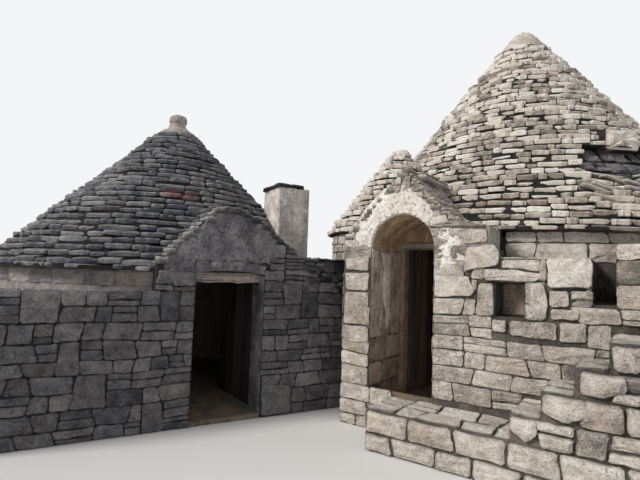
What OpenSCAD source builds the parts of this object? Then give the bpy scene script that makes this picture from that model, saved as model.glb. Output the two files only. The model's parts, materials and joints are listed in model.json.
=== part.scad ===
// Trullo house: two dry-stone cones and a small one over plastered fronts,
// with a gabled porch, an arched porch, a chimney, a landing and a stone stair.
// Millimetres, +Z up, ground at z = 0, fronts facing -Y.

/* [Left room] */
// Outer radius of the left round wall
left_wall_r = 2650; // [2450:10:2800]
// Thickness of the left round wall
left_wall_t = 900; // [700:10:1000]
// Height of the masonry between the left doorway's lintel seat and the eaves
left_over_door = 130; // [110:5:160]
// Height of the left cone over its eaves slabs
left_roof_h = 2530; // [2300:10:2800]
// Number of slab courses on the left cone
left_courses = 27; // [14:1:34]
// Height of the finial on the left cone
left_finial_h = 350; // [250:10:450]

/* [Left front] */
// Height of the low front wall left of the porch
left_front_h = 1600; // [1300:10:1800]
// Reach of the low front wall, left from the door's middle
left_front_reach = 2950; // [2750:10:3100]
// Depth of the front walls at their free ends
left_front_d = 600; // [450:10:700]
// Width of the left doorway
left_door_w = 940; // [860:10:980]
// Place of the left doorway's middle, right of the porch's ridge
left_door_at = 160; // [100:10:200]
// Height of the left doorway
left_door_h = 1800; // [1700:10:1850]
// Reach of the left porch, left from its ridge
left_porch_w = 805; // [740:5:850]
// Rise of the left porch's left foot over the round wall
left_foot_rise = 120; // [90:5:160]
// Rise of the left porch's ridge over the round wall
left_gable_rise = 880; // [800:10:960]
// Thickness of the left gable wall
left_gable_t = 450; // [350:10:600]
// Height of the stone lintel over the left doorway
left_lintel_h = 150; // [120:5:170]
// Depth at which the lintel stands back from the front
left_lintel_back = 120; // [60:5:180]

/* [Chimney] */
// Width of the chimney
chimney_w = 540; // [460:10:600]
// Depth of the chimney
chimney_d = 600; // [480:10:640]
// Height of the chimney's top over the ground
chimney_top = 3400; // [3200:10:3700]
// Thickness of the chimney's walls
chimney_t = 130; // [90:5:160]

/* [Right room] */
// Outer radius of the right round wall
right_wall_r = 3200; // [3100:10:3300]
// Thickness of the right round wall
right_wall_t = 900; // [800:10:1000]
// Rise of the right round wall over the arch's springing
right_wall_rise = 260; // [220:10:320]
// Height of the right cone over its eaves slabs
right_roof_h = 4150; // [3900:10:4400]
// Number of slab courses on the right cone
right_courses = 42; // [20:1:50]

/* [Right front] */
// Drop of the right front wall's top under the arch's springing
right_front_drop = 140; // [100:10:200]
// Width of the arched porch
arch_w = 860; // [800:10:880]
// Height of the arch's springing
arch_spring_h = 2340; // [2250:10:2450]
// Depth of the arched porch, to the door's stones
arch_depth = 900; // [800:10:980]
// Masonry over the arch's stones at the ridge
right_gable_cover = 450; // [400:10:500]
// Rise of the arched porch's left foot over the springing
right_foot_rise = 150; // [120:10:190]
// Thickness of the right gable wall
right_gable_t = 500; // [400:10:600]
// Width of the right doorway
right_door_w = 720; // [660:10:760]
// Rise of the right doorway's head over the springing
right_door_rise = 40; // [20:5:60]
// Height of the landing and of the sill under the arch
landing_h = 450; // [400:10:500]
// Depth of the sill under the arch
sill_d = 300; // [240:10:360]
// Height of the right room's floor
right_floor_h = 250; // [200:10:300]
// Width of the niche
niche_w = 310; // [250:10:360]
// Height of the niche
niche_h = 380; // [300:10:420]
// Depth of the niche
niche_d = 320; // [200:10:400]

/* [Small cone] */
// Radius of the small cone at its eaves
small_roof_r = 1180; // [1100:10:1200]
// Height of the small cone
small_roof_h = 1480; // [1300:10:1600]
// Number of slab courses on the small cone
small_courses = 16; // [10:1:20]
// Height of the small cone's drum over the right front wall's top
small_drum_h = 432; // [392:10:472]

/* [Fallen cladding] */
// Bearing of the fallen patch's left end on the right cone
fallen_from = -64; // [-80:1:-50]
// Sweep of the fallen patch
fallen_sweep = 38; // [20:1:50]
// Height of the fallen patch's foot over the eaves
fallen_low = 680; // [500:10:900]
// Height of the fallen patch
fallen_h = 590; // [300:10:700]
// Depth of the fallen patch into the cladding
fallen_d = 190; // [100:10:220]

/* [Doors] */
// Thickness of the door leaves
leaf_t = 45; // [35:1:50]
// Angle at which the left door stands open
left_door_angle = 85; // [60:1:90]
// Angle at which the right door stands open
right_door_angle = 87; // [60:1:89]
// Thickness of the boards, without the rails behind them
board_t = 27; // [20:1:30]
// Height of the rails
rail_h = 110; // [90:5:130]
// Height at which the left door's outer boards are broken off
break_h = 1105; // [1000:5:1200]

/* [Landing and stair] */
// Depth of the landing and the stair
stair_d = 640; // [560:10:700]
// Length of the landing
landing_w = 1540; // [1400:10:1600]
// Number of steps
steps = 7; // [5:1:8]
// Going of a step
step_run = 270; // [240:5:300]

/* [Hidden] */
$fn = 240;

// Clearance of the moving leaves to stone
gap = 10;
// A depth that reaches past everything
far = 9000;
eaves_t = 50;
eaves_reach = 30;
eaves_over = 110;
slab_t = 60;
// Facets of the cones that cut what stands against them
cut_fn = 480;

// Left front: its origin is the middle of the doorway, x along the wall, y inwards
left_at = [-2100, -1800];
left_turn = 30;
left_set_back = 110;
left_center = [-80, left_wall_r + left_set_back];
left_wall_h = left_door_h + left_over_door;
left_inner_r = left_wall_r - left_wall_t;
left_eaves_z = left_wall_h + eaves_t;
left_top_r = 230;
left_rebate_n = 400;
left_rebate_w = 90;
left_passage_w = left_door_w + 2 * left_rebate_w;
left_head_rise = 45;
left_head_gap = 20;
left_head_h = left_door_h + left_lintel_h + left_head_gap;
left_porch_right = 1020;
passage_over_door = 60;
left_passage_h = left_door_h + passage_over_door;
left_floor_h = 60;
left_gable_h = left_wall_h + left_gable_rise;

// Right front
right_at = [250, -2000];
right_turn = -35;
right_set_back = 770;
right_center = [700, right_wall_r + right_set_back];
right_wall_h = arch_spring_h + right_wall_rise;
right_front_h = arch_spring_h - right_front_drop;
right_door_head = arch_spring_h + right_door_rise;
right_inner_r = right_wall_r - right_wall_t;
right_eaves_z = right_wall_h + eaves_t;
right_top_r = 110;
right_corner = -850;
right_porch_end = 1080;
arch_r = arch_w / 2;
vault_t = 150;
right_gable_h = arch_spring_h + arch_r + vault_t + right_gable_cover;
jamb_d = 160;
right_passage_n = arch_depth + jamb_d;
right_rebate_w = 110;
right_passage_w = right_door_w + 2 * right_rebate_w;
right_passage_h = right_door_head + passage_over_door;

// Small cone, in the whole house's own frame
small_at = [550, -50];
small_eaves_z = right_front_h + small_drum_h;
small_eaves_over = 70;
small_top_r = 90;
small_tip_r = 50;
small_tip_h = 40;

// Cladding of the cones
clad_t = 260;
closing_h = 250;

// Hinges
pin_r = 8;
knuckle_r = 17;
knuckle_h = 60;
pin_play = 0.4;

module left_place() {
    translate([left_at.x, left_at.y, 0]) rotate([0, 0, left_turn]) children();
}

module right_place() {
    translate([right_at.x, right_at.y, 0]) rotate([0, 0, right_turn]) children();
}

module left_axis() {
    translate([left_center.x, left_center.y, 0]) children();
}

module right_axis() {
    translate([right_center.x, right_center.y, 0]) children();
}

// A block between two corners
module block(low, high) {
    translate(low) cube(high - low);
}

// A wall's face outline in x and z, pushed from y = from to y = to
module face(points, from, to) {
    translate([0, to, 0]) rotate([90, 0, 0]) linear_extrude(to - from) polygon(points);
}

// A plan outline between two heights
module storey(from, to) {
    translate([0, 0, from]) linear_extrude(to - from) children();
}

// Outline of a stepped cone: each course is a riser and the ledge above it
function course_steps(r0, r1, z0, h, n) = [
    for (i = [0 : n - 1])
        let (a = i / n, b = (i + 1) / n, r = r0 + (r1 - r0) * a, next_r = r0 + (r1 - r0) * b)
            each [[r, z0 + h * a], [r - (r - next_r) * 0.45, z0 + h * b]]
];

// Inside outline of a corbelled dome, from its foot up
dome_curve = 1.25;
dome_crown = 300;
function corbel_r(r, t) = r * (1 - pow(t, dome_curve));
function corbel_steps(r, z0, h, n) = [
    for (i = [0 : n - 1]) each [[corbel_r(r, i / n), z0 + h * i / n], [corbel_r(r, i / n), z0 + h * (i + 1) / n]]
];
function reversed(list) = [for (i = [len(list) - 1 : -1 : 0]) list[i]];

// Radius at which the cladding ends inside, and where the dome closes
function inner_slope_r(r0, r1, h, z) = r0 - clad_t - (r0 - r1) / h * z;

module cladding(r0, r1, z0, h, n) {
    top = h - closing_h;
    rotate_extrude() polygon(concat(
        course_steps(r0, r1, z0, h, n),
        [[0, z0 + h], [0, z0 + top], [inner_slope_r(r0, r1, h, top), z0 + top], [r0 - clad_t, z0]]
    ));
}

module dome(r0, r1, room_r, z0, h, n) {
    top = h - closing_h;
    rise = top - dome_crown;
    rotate_extrude() polygon(concat(
        [[0, z0 + top], [0, z0 + rise]],
        reversed(corbel_steps(room_r, z0, rise, n)),
        [[r0 - clad_t, z0], [inner_slope_r(r0, r1, h, top), z0 + top]]
    ));
}

// The whole cone with its eaves slabs, over the courses' outer corners, to cut what stands against it
module cone_solid(r0, r1, z0, h, n) {
    proud = (r0 - r1) / n * 0.55;
    translate([0, 0, z0 - eaves_t]) cylinder(r = r0 + eaves_reach, h = eaves_t, $fn = cut_fn);
    translate([0, 0, z0]) cylinder(r1 = r0 + proud, r2 = r1 + proud, h = h, $fn = cut_fn);
}

left_eave_r = left_wall_r + eaves_over;
right_eave_r = right_wall_r + eaves_over;

module left_cone() {
    left_axis() cone_solid(left_eave_r, left_top_r, left_eaves_z, left_roof_h, left_courses);
}

module right_cone() {
    right_axis() cone_solid(right_eave_r, right_top_r, right_eaves_z, right_roof_h, right_courses);
}

module ring_part(r, t, h, from, sweep) {
    rotate_extrude(start = from, angle = sweep) translate([r - t, 0]) square([t, h]);
}

// Left porch
left_gable_right = 1350;
left_gable_points = [
    [-left_porch_w, left_wall_h], [left_gable_right, left_wall_h], [1226, left_wall_h + 240],
    [800, left_wall_h + 555], [626, left_wall_h + 695], [240, left_gable_h - 10], [-40, left_gable_h],
    [-left_porch_w, left_wall_h + left_foot_rise]
];

module left_porch_cut() {
    block([-left_porch_w, -100, -10], [left_porch_right, left_center.y, left_wall_h + 10]);
}

module left_gable_cut() {
    face([
        [-left_porch_w, left_wall_h - 10], [left_gable_right, left_wall_h - 10],
        [left_gable_right, far], [-left_porch_w, far]
    ], -far / 9, left_gable_t);
}

module chimney_block(top) {
    block([chimney_at.x, chimney_at.y, left_wall_h], [chimney_at.x + chimney_w, chimney_at.y + chimney_d, top]);
}
chimney_at = [1228, 907];

module left_wall_part(from, sweep) {
    color([0.72, 0.66, 0.58]) left_place() difference() {
        left_axis() ring_part(left_wall_r, left_wall_t, left_wall_h, from, sweep);
        left_porch_cut();
    }
}

module left_wall_east() { left_wall_part(-90, 90); }
module left_wall_north() { left_wall_part(0, 90); }
module left_wall_west() { left_wall_part(90, 90); }
module left_wall_south() { left_wall_part(180, 90); }

module left_round(r, top) {
    left_axis() translate([0, 0, -10]) cylinder(r = r, h = top + 20);
}

module left_front_wall() {
    color([0.58, 0.55, 0.51]) left_place() difference() {
        storey(0, left_front_h) polygon([
            [-left_front_reach, 0], [-left_porch_w, 0], [-left_porch_w, left_center.y],
            [left_center.x - left_wall_r, left_center.y], [-left_front_reach, left_front_d]
        ]);
        left_round(left_wall_r, left_front_h);
    }
}

// The doorway's own frame: its middle at x = 0
module left_doorway() {
    translate([left_door_at, 0, 0]) children();
}

// Plan of a pier, from the doorway's edge to the porch's edge
module left_pier(side, reach) {
    color([0.66, 0.63, 0.58]) left_place() difference() {
        left_doorway() storey(0, left_door_h) mirror([side < 0 ? 1 : 0, 0]) polygon([
            [left_door_w / 2, 0], [reach, 0], [reach, left_center.y],
            [left_passage_w / 2, left_center.y], [left_passage_w / 2, left_rebate_n],
            [left_door_w / 2, left_rebate_n]
        ]);
        left_round(left_inner_r, left_door_h);
    }
}

module left_pier_left() { left_pier(-1, left_porch_w + left_door_at); }
module left_pier_right() { left_pier(1, left_porch_right - left_door_at); }

// The opening in the front, with its slightly arched head
module left_head_cut() {
    left_doorway() {
        face([
            [-left_door_w / 2, left_door_h], [left_door_w / 2, left_door_h], [left_door_w / 2, left_head_h - left_head_rise],
            [left_door_w / 4, left_head_h - left_head_rise / 4], [0, left_head_h],
            [-left_door_w / 4, left_head_h - left_head_rise / 4], [-left_door_w / 2, left_head_h - left_head_rise]
        ], -10, left_lintel_back);
    }
}

lintel_bearing = 90;
module left_lintel_block() {
    left_doorway() block(
        [-left_door_w / 2 - lintel_bearing, left_lintel_back, left_door_h],
        [left_door_w / 2 + lintel_bearing, left_rebate_n, left_door_h + left_lintel_h]);
}

module left_lintel() {
    color([0.70, 0.68, 0.64]) left_place() left_lintel_block();
}

// The porch's roof between the gable and the cone
module left_porch_roof() {
    difference() {
        face([for (p = left_gable_points) [p.x, p.y > left_wall_h ? p.y - slab_t : p.y]], left_gable_t, left_center.y);
        left_cone();
        chimney_block(far);
        left_axis() cylinder(r = left_inner_r, h = far);
    }
}

module left_gable() {
    color([0.60, 0.57, 0.53]) left_place() difference() {
        union() {
            face(left_gable_points, 0, left_gable_t);
            left_porch_roof();
            difference() {
                block([-left_porch_w, 0, left_door_h], [left_porch_right, left_center.y, left_wall_h]);
                left_round(left_inner_r, left_wall_h);
            }
        }
        left_doorway() block([-left_passage_w / 2, left_rebate_n - 1, 0], [left_passage_w / 2, far, left_passage_h]);
        left_head_cut();
        left_lintel_block();
    }
}

// Wall between the left porch and the right front, and what stands on it
hearth_reach = 3600;
hearth_end = 2350;
hearth_ledge = 1900;
hearth_wall_h = left_wall_h - 160;
hearth_slope_h = left_wall_h - 80;

module hearth_wall() {
    color([0.62, 0.60, 0.56]) difference() {
        left_place() difference() {
            face([
                [left_porch_right, 0], [hearth_reach, 0], [hearth_reach, right_front_h], [hearth_end, right_front_h],
                [hearth_end, hearth_wall_h], [hearth_ledge, hearth_wall_h], [left_gable_right, hearth_slope_h],
                [left_gable_right, left_wall_h], [left_porch_right, left_wall_h]
            ], 0, left_front_d);
            left_round(left_wall_r, right_front_h);
            left_cone();
        }
        right_mass_round();
    }
}

hearth_slabs = 6;
hearth_step = 90;
module hearth_roof() {
    color([0.50, 0.48, 0.45]) left_place() difference() {
        union() for (i = [0 : hearth_slabs - 1])
            let (reach = hearth_ledge - i * hearth_step, low = i * slab_t, high = low + slab_t)
                face([
                    [left_gable_right, hearth_slope_h + low], [reach, hearth_wall_h + low],
                    [reach, hearth_wall_h + high], [left_gable_right, hearth_slope_h + high]
                ], 0, left_front_d);
        left_cone();
        left_round(left_wall_r, left_wall_h);
    }
}

module chimney() {
    color([0.60, 0.57, 0.52]) left_place() difference() {
        chimney_block(chimney_top);
        block([chimney_at.x + chimney_t, chimney_at.y + chimney_t, left_eaves_z],
              [chimney_at.x + chimney_w - chimney_t, chimney_at.y + chimney_d - chimney_t, far]);
    }
}

module chimney_cap() {
    color([0.35, 0.33, 0.31]) left_place() difference() {
        block([chimney_at.x - 30, chimney_at.y - 30, chimney_top],
              [chimney_at.x + chimney_w + 30, chimney_at.y + chimney_d + 30, chimney_top + 45]);
        block([chimney_at.x + chimney_t, chimney_at.y + chimney_t, left_wall_h],
              [chimney_at.x + chimney_w - chimney_t, chimney_at.y + chimney_d - chimney_t, far]);
    }
}

module left_eaves() {
    color([0.50, 0.47, 0.44]) left_place() difference() {
        left_axis() translate([0, 0, left_wall_h]) ring_part(left_eave_r + eaves_reach, left_eave_r + eaves_reach - left_inner_r, eaves_t, 0, 360);
        left_gable_cut();
        chimney_block(far);
    }
}

module left_dome() {
    color([0.62, 0.60, 0.56]) left_place() difference() {
        left_axis() dome(left_eave_r, left_top_r, left_inner_r, left_eaves_z, left_roof_h, 14);
        left_gable_cut();
        chimney_block(far);
    }
}

module left_roof() {
    color([0.45, 0.43, 0.41]) left_place() difference() {
        left_axis() cladding(left_eave_r, left_top_r, left_eaves_z, left_roof_h, left_courses);
        left_gable_cut();
        chimney_block(far);
    }
}

module left_finial() {
    z0 = left_eaves_z + left_roof_h;
    color([0.55, 0.53, 0.50]) left_place() left_axis() translate([0, 0, z0]) rotate_extrude() polygon([
        [0, 0], [200, 0], [190, 50], [100, 60], [95, left_finial_h * 0.35], [125, left_finial_h * 0.4],
        [120, left_finial_h * 0.85], [80, left_finial_h * 0.96], [0, left_finial_h]
    ]);
}

module left_floor() {
    color([0.60, 0.57, 0.52]) left_place() difference() {
        union() {
            left_axis() cylinder(r = left_inner_r, h = left_floor_h);
            left_doorway() {
                block([-left_passage_w / 2, left_rebate_n, 0], [left_passage_w / 2, left_center.y, left_floor_h]);
                block([-left_door_w / 2, 0, 0], [left_door_w / 2, left_rebate_n + 1, left_floor_h]);
            }
        }
    }
}

// A board leaf in its own frame: the pin's axis at the origin, the leaf along +x, its face towards -y
boards = 4;
leaf_edge = 20;
leaf_face = -50;
groove = 8;
strap_t = 8;
function board_x(w, i) = leaf_edge + i * (w - leaf_edge) / boards;
function leaf_hinges(h) = [h * 0.16 + 120, h * 0.82 - 80];

module leaf(w, h, rails) {
    back = leaf_face + board_t;
    difference() {
        union() {
            block([leaf_edge, leaf_face, 0], [w, back, h]);
            for (z = rails) block([40, back, z], [w - 40, leaf_face + leaf_t, z + rail_h]);
            for (z = leaf_hinges(h)) {
                translate([0, 0, z]) cylinder(r = knuckle_r, h = knuckle_h);
                block([0, back, z], [w * 0.6, back + strap_t, z + knuckle_h]);
                block([0, back, z], [leaf_edge, 0, z + knuckle_h]);
            }
        }
        for (i = [1 : boards - 1])
            block([board_x(w, i) - groove / 2, leaf_face - 10, -10], [board_x(w, i) + groove / 2, leaf_face + 6, h + 10]);
        for (z = leaf_hinges(h)) translate([0, 0, z - 10]) cylinder(r = pin_r + pin_play, h = knuckle_h + 20);
    }
}

// The outer boards' lost upper half, and the slits between the splayed boards below
module broken_boards(w, h) {
    kept = board_x(w, 2);
    face([
        [kept, h + 10], [kept, break_h + 90], [kept + 110, break_h + 15], [board_x(w, 3), break_h + 55],
        [w + 10, break_h - 5], [w + 10, h + 10]
    ], -100, 100);
    for (i = [1 : boards - 1])
        let (x = board_x(w, i))
            face([[x - 14, -10], [x + 14, -10], [x + 3, break_h - 140], [x - 3, break_h - 140]],
                 leaf_face - 10, leaf_face + board_t);
}

// Iron pintles on the jamb, in the leaf's frame; reach is how far the jamb's face lies behind the pin
module pintles(h, reach) {
    for (z = leaf_hinges(h)) {
        translate([0, 0, z - 12]) cylinder(r = pin_r, h = knuckle_h + 22);
        block([-reach + 8, -pin_r, z - 22], [pin_r, pin_r, z - 1]);
        block([-reach, -25, z - 40], [-reach + 8, 25, z + 20]);
    }
}

leaf_lap_h = 30;
left_lap_w = 90;
left_leaf_w = left_door_w + left_lap_w;
left_leaf_h = left_door_h - left_floor_h + leaf_lap_h;
left_pin_reach = 38;
left_pin = [left_door_at + left_passage_w / 2 - left_pin_reach, left_rebate_n + gap - leaf_face];
left_leaf_z = left_floor_h + gap;

module left_hinge() {
    left_place() translate([left_pin.x, left_pin.y, left_leaf_z]) mirror([1, 0, 0]) children();
}

module left_door() {
    color([0.36, 0.31, 0.26]) left_hinge() rotate([0, 0, left_door_angle]) difference() {
        leaf(left_leaf_w, left_leaf_h, [left_leaf_h * 0.16, break_h - rail_h, left_leaf_h * 0.82]);
        broken_boards(left_leaf_w, left_leaf_h);
    }
}

module left_pintles() {
    color([0.25, 0.20, 0.17]) left_hinge() pintles(left_leaf_h, left_pin_reach);
}

// Masonry between the two rooms
middle_reach = 4600;
middle_depth = 2000;
module middle_wall() {
    color([0.60, 0.57, 0.53]) difference() {
        left_place() difference() {
            block([left_porch_right, left_front_d, 0], [middle_reach, middle_depth, right_front_h]);
            left_round(left_wall_r, right_front_h);
            left_cone();
        }
        right_mass_round();
    }
}

module right_mass_round() {
    right_place() {
        block([right_corner, -far, -100], [far, right_center.y, far]);
        right_axis() translate([0, 0, -100]) cylinder(r = right_wall_r, h = far, $fn = cut_fn);
    }
}

// The small cone on its drum, against the right porch and the two big cones
module small_roof() {
    top = small_eaves_z + small_roof_h;
    drum_r = small_roof_r - small_eaves_over;
    color([0.55, 0.52, 0.48]) difference() {
        translate([small_at.x, small_at.y, 0]) rotate_extrude() polygon(concat(
            [[0, right_front_h], [drum_r, right_front_h], [drum_r, small_eaves_z]],
            course_steps(small_roof_r, small_top_r, small_eaves_z, small_roof_h, small_courses),
            [[small_tip_r, top + small_tip_h * 0.7], [0, top + small_tip_h]]
        ));
        right_place() {
            right_axis() cylinder(r = right_wall_r, h = right_wall_h, $fn = cut_fn);
            right_cone();
            right_gable_prism(0);
            block([right_corner, -far, 0], [far, right_center.y, arch_spring_h]);
            block([right_corner, right_passage_n, 0], [right_porch_end, right_center.y, right_wall_h]);
        }
        left_place() left_cone();
    }
}

// Right room
module right_wall_part(from, sweep) {
    color([0.76, 0.71, 0.62]) right_place() difference() {
        right_axis() ring_part(right_wall_r, right_wall_t, right_wall_h, from, sweep);
        block([right_corner, -far, -10], [right_porch_end, right_center.y, right_wall_h + 10]);
    }
}

module right_wall_east() { right_wall_part(-90, 90); }
module right_wall_north() { right_wall_part(0, 90); }
module right_wall_west() { right_wall_part(90, 90); }
module right_wall_south() { right_wall_part(180, 90); }

module right_room_cut() {
    right_axis() translate([0, 0, -10]) cylinder(r = right_inner_r, h = far);
}

module right_pier_left() {
    color([0.74, 0.71, 0.65]) right_place() difference() {
        storey(0, arch_spring_h) polygon([
            [right_corner, 0], [-arch_r, 0], [-arch_r, right_passage_n], [-right_passage_w / 2, right_passage_n],
            [-right_passage_w / 2, right_center.y], [right_corner, right_center.y]
        ]);
        right_room_cut();
    }
}

module right_pier_right() {
    color([0.76, 0.72, 0.64]) right_place() difference() {
        storey(0, arch_spring_h) polygon([
            [right_porch_end, 0], [arch_r, 0], [arch_r, right_passage_n], [right_passage_w / 2, right_passage_n],
            [right_passage_w / 2, right_center.y], [right_porch_end, right_center.y]
        ]);
        right_room_cut();
    }
}

// Masonry over the passage behind the arched porch
module right_door_head() {
    color([0.70, 0.66, 0.58]) right_place() difference() {
        block([right_corner, right_passage_n, arch_spring_h], [right_porch_end, right_center.y, right_wall_h]);
        right_room_cut();
        block([-right_passage_w / 2, 0, 0], [right_passage_w / 2, right_center.y, right_passage_h]);
    }
}

// The doorway's stones: two jambs, and the wall over them up to the vault
module right_door_frame() {
    color([0.74, 0.62, 0.54]) right_place() difference() {
        union() {
            translate([0, arch_depth, arch_spring_h]) rotate([-90, 0, 0]) cylinder(r = arch_r, h = jamb_d);
            block([-arch_r, arch_depth, right_floor_h], [arch_r, right_passage_n, arch_spring_h]);
        }
        block([-right_door_w / 2, 0, 0], [right_door_w / 2, far, right_door_head]);
    }
}

module vault_outer() {
    translate([0, -10, arch_spring_h]) rotate([-90, 0, 0]) cylinder(r = arch_r + vault_t, h = right_passage_n + 10);
}

module arch_vault() {
    color([0.80, 0.77, 0.70]) right_place() difference() {
        translate([0, 0, arch_spring_h]) rotate([-90, 0, 0]) cylinder(r = arch_r + vault_t, h = right_passage_n);
        translate([0, -10, arch_spring_h]) rotate([-90, 0, 0]) cylinder(r = arch_r, h = right_passage_n + 20);
        block([-far, -far, 0], [far, far, arch_spring_h]);
    }
}

right_gable_points = [
    [right_corner, arch_spring_h], [right_porch_end, arch_spring_h], [right_porch_end, arch_spring_h + 240],
    [824, arch_spring_h + 290], [610, arch_spring_h + 400], [374, arch_spring_h + 650], [40, right_gable_h],
    [right_corner, arch_spring_h + right_foot_rise]
];

module right_gable_prism(lower) {
    face([for (p = right_gable_points) [p.x, p.y > arch_spring_h ? p.y - lower : p.y]], 0, right_center.y);
}

module right_gable() {
    color([0.80, 0.77, 0.71]) right_place() difference() {
        face(right_gable_points, 0, right_gable_t);
        vault_outer();
        block([-arch_r - vault_t, -10, 0], [arch_r + vault_t, right_passage_n, arch_spring_h]);
    }
}

module right_porch_roof() {
    color([0.66, 0.63, 0.57]) right_place() difference() {
        face([for (p = right_gable_points) [p.x, p.y > arch_spring_h ? p.y - slab_t : p.y]], right_gable_t, right_center.y);
        vault_outer();
        right_cone();
        block([-far, right_passage_n, 0], [far, far, right_wall_h]);
        right_room_cut();
    }
}

right_wall_end = 2080;
niche_drop = 640;
niche_at = [1150, right_front_h - niche_drop];
module niche_cut() {
    block([niche_at.x, -10, niche_at.y], [niche_at.x + niche_w, niche_d, niche_at.y + niche_h]);
}
niche_lintel_h = 130;
module niche_lintel_block() {
    block([niche_at.x - 80, 0, niche_at.y + niche_h], [niche_at.x + niche_w + 140, niche_d, niche_at.y + niche_h + niche_lintel_h]);
}

module right_front_wall() {
    color([0.76, 0.72, 0.64]) right_place() difference() {
        block([right_porch_end, 0, 0], [right_wall_end, right_center.y / 2, right_front_h]);
        right_axis() translate([0, 0, -10]) cylinder(r = right_wall_r, h = far);
        niche_cut();
        intersection() {
            niche_lintel_block();
            block([right_porch_end, -far, 0], [far, far, far]);
        }
    }
}

module niche_lintel() {
    color([0.80, 0.76, 0.68]) right_place() intersection() {
        niche_lintel_block();
        block([right_porch_end, -far, 0], [far, far, far]);
    }
}

landing_from = -100;
stair_start = landing_from + landing_w;
stair_end = stair_start + steps * step_run;
step_rise = (right_front_h - landing_h) / steps;
// The hollow between the front wall's end and the masonry beside the stair
stair_gap_end = 2290;
stair_gap_h = right_front_h - 450;
stair_wall_h = right_front_h + 100;
module stair_wall() {
    color([0.70, 0.66, 0.59]) right_place() difference() {
        face([
            [right_wall_end, 0], [stair_end, 0], [stair_end, stair_wall_h], [stair_gap_end, stair_wall_h],
            [stair_gap_end, stair_gap_h], [right_wall_end, stair_gap_h]
        ], 0, right_center.y / 2);
        right_axis() translate([0, 0, -10]) cylinder(r = right_wall_r, h = far);
    }
}

module right_eaves() {
    color([0.62, 0.58, 0.52]) right_place() difference() {
        right_axis() translate([0, 0, right_wall_h])
            ring_part(right_eave_r + eaves_reach, right_eave_r + eaves_reach - right_inner_r, eaves_t, 0, 360);
        vault_outer();
    }
}

module right_dome() {
    color([0.66, 0.63, 0.57]) right_place() difference() {
        right_axis() dome(right_eave_r, right_top_r, right_inner_r, right_eaves_z, right_roof_h, 20);
        vault_outer();
    }
}

// Radius of the right cone at a height over its eaves
function right_slope_r(z) = right_eave_r - (right_eave_r - right_top_r) / right_roof_h * z;

// The patch where the outer slabs have fallen
module fallen_patch() {
    high = fallen_low + fallen_h;
    rotate_extrude(start = fallen_from, angle = fallen_sweep) polygon([
        [right_slope_r(fallen_low) - fallen_d, right_eaves_z + fallen_low], [right_eave_r, right_eaves_z + fallen_low],
        [right_eave_r, right_eaves_z + high], [right_slope_r(high) - fallen_d, right_eaves_z + high]
    ]);
}

// The big block that bridges the fallen patch
bridge_w = 520;
bridge_h = 300;
bridge_at = 18;
bridge_back = 30;
module bridge_stone() {
    low = fallen_low + fallen_h - 40;
    rotate([0, 0, fallen_from + bridge_at]) translate([right_slope_r(low), 0, right_eaves_z + low])
        block([10 - clad_t, -bridge_w / 2, 0], [-bridge_back, bridge_w / 2, bridge_h]);
}

module right_roof() {
    color([0.64, 0.60, 0.53]) right_place() {
        difference() {
            right_axis() cladding(right_eave_r, right_top_r, right_eaves_z, right_roof_h, right_courses);
            vault_outer();
            right_axis() fallen_patch();
        }
        right_axis() bridge_stone();
        right_axis() translate([0, 0, right_eaves_z + right_roof_h]) cylinder(r1 = 75, r2 = 40, h = 60);
    }
}

module right_floor() {
    color([0.66, 0.63, 0.57]) right_place() {
        right_axis() cylinder(r = right_inner_r, h = right_floor_h);
        block([-right_passage_w / 2, right_passage_n, 0], [right_passage_w / 2, right_center.y, right_floor_h]);
        block([-arch_r, 0, 0], [arch_r, right_passage_n, right_floor_h]);
        block([-arch_r, 0, 0], [arch_r, sill_d, landing_h]);
    }
}

right_lap_w = 75;
right_leaf_w = right_door_w + right_lap_w;
right_leaf_h = right_door_head - right_floor_h + leaf_lap_h;
right_pin_reach = 60;
right_pin = [-right_passage_w / 2 + right_pin_reach, right_passage_n + gap - leaf_face];
right_leaf_z = right_floor_h + gap;

module right_hinge() {
    right_place() translate([right_pin.x, right_pin.y, right_leaf_z]) children();
}

module right_door() {
    color([0.17, 0.14, 0.12]) right_hinge() rotate([0, 0, right_door_angle])
        leaf(right_leaf_w, right_leaf_h, [for (share = [0.16, 0.5, 0.82]) right_leaf_h * share]);
}

module right_pintles() {
    color([0.22, 0.18, 0.15]) right_hinge() pintles(right_leaf_h, right_pin_reach);
}

module landing() {
    color([0.68, 0.64, 0.57]) right_place() block([landing_from, -stair_d, 0], [stair_start, 0, landing_h]);
}

module stair() {
    color([0.70, 0.66, 0.58]) right_place() for (i = [0 : steps - 1])
        block([stair_start + i * step_run, -stair_d, 0],
              [stair_start + (i + 1) * step_run, 0, landing_h + (i + 1) * step_rise]);
}

left_wall_east();
left_wall_north();
left_wall_west();
left_wall_south();
left_front_wall();
left_pier_left();
left_pier_right();
left_lintel();
left_gable();
hearth_wall();
hearth_roof();
chimney();
chimney_cap();
left_eaves();
left_dome();
left_roof();
left_finial();
left_floor();
left_pintles();
left_door();
middle_wall();
small_roof();
right_wall_east();
right_wall_north();
right_wall_west();
right_wall_south();
right_pier_left();
right_pier_right();
right_door_head();
right_door_frame();
arch_vault();
right_gable();
right_porch_roof();
right_front_wall();
niche_lintel();
stair_wall();
right_eaves();
right_dome();
right_roof();
right_floor();
right_pintles();
right_door();
landing();
stair();
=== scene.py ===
"""Looks of the trullo house: slabs, stones, plaster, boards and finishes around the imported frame."""

from __future__ import annotations

import json
import logging
import math
import random
from collections.abc import Callable, Iterable, Sequence
from dataclasses import dataclass, field
from enum import Enum

import bmesh
import bpy
from mathutils import Matrix, Vector, noise

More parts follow.
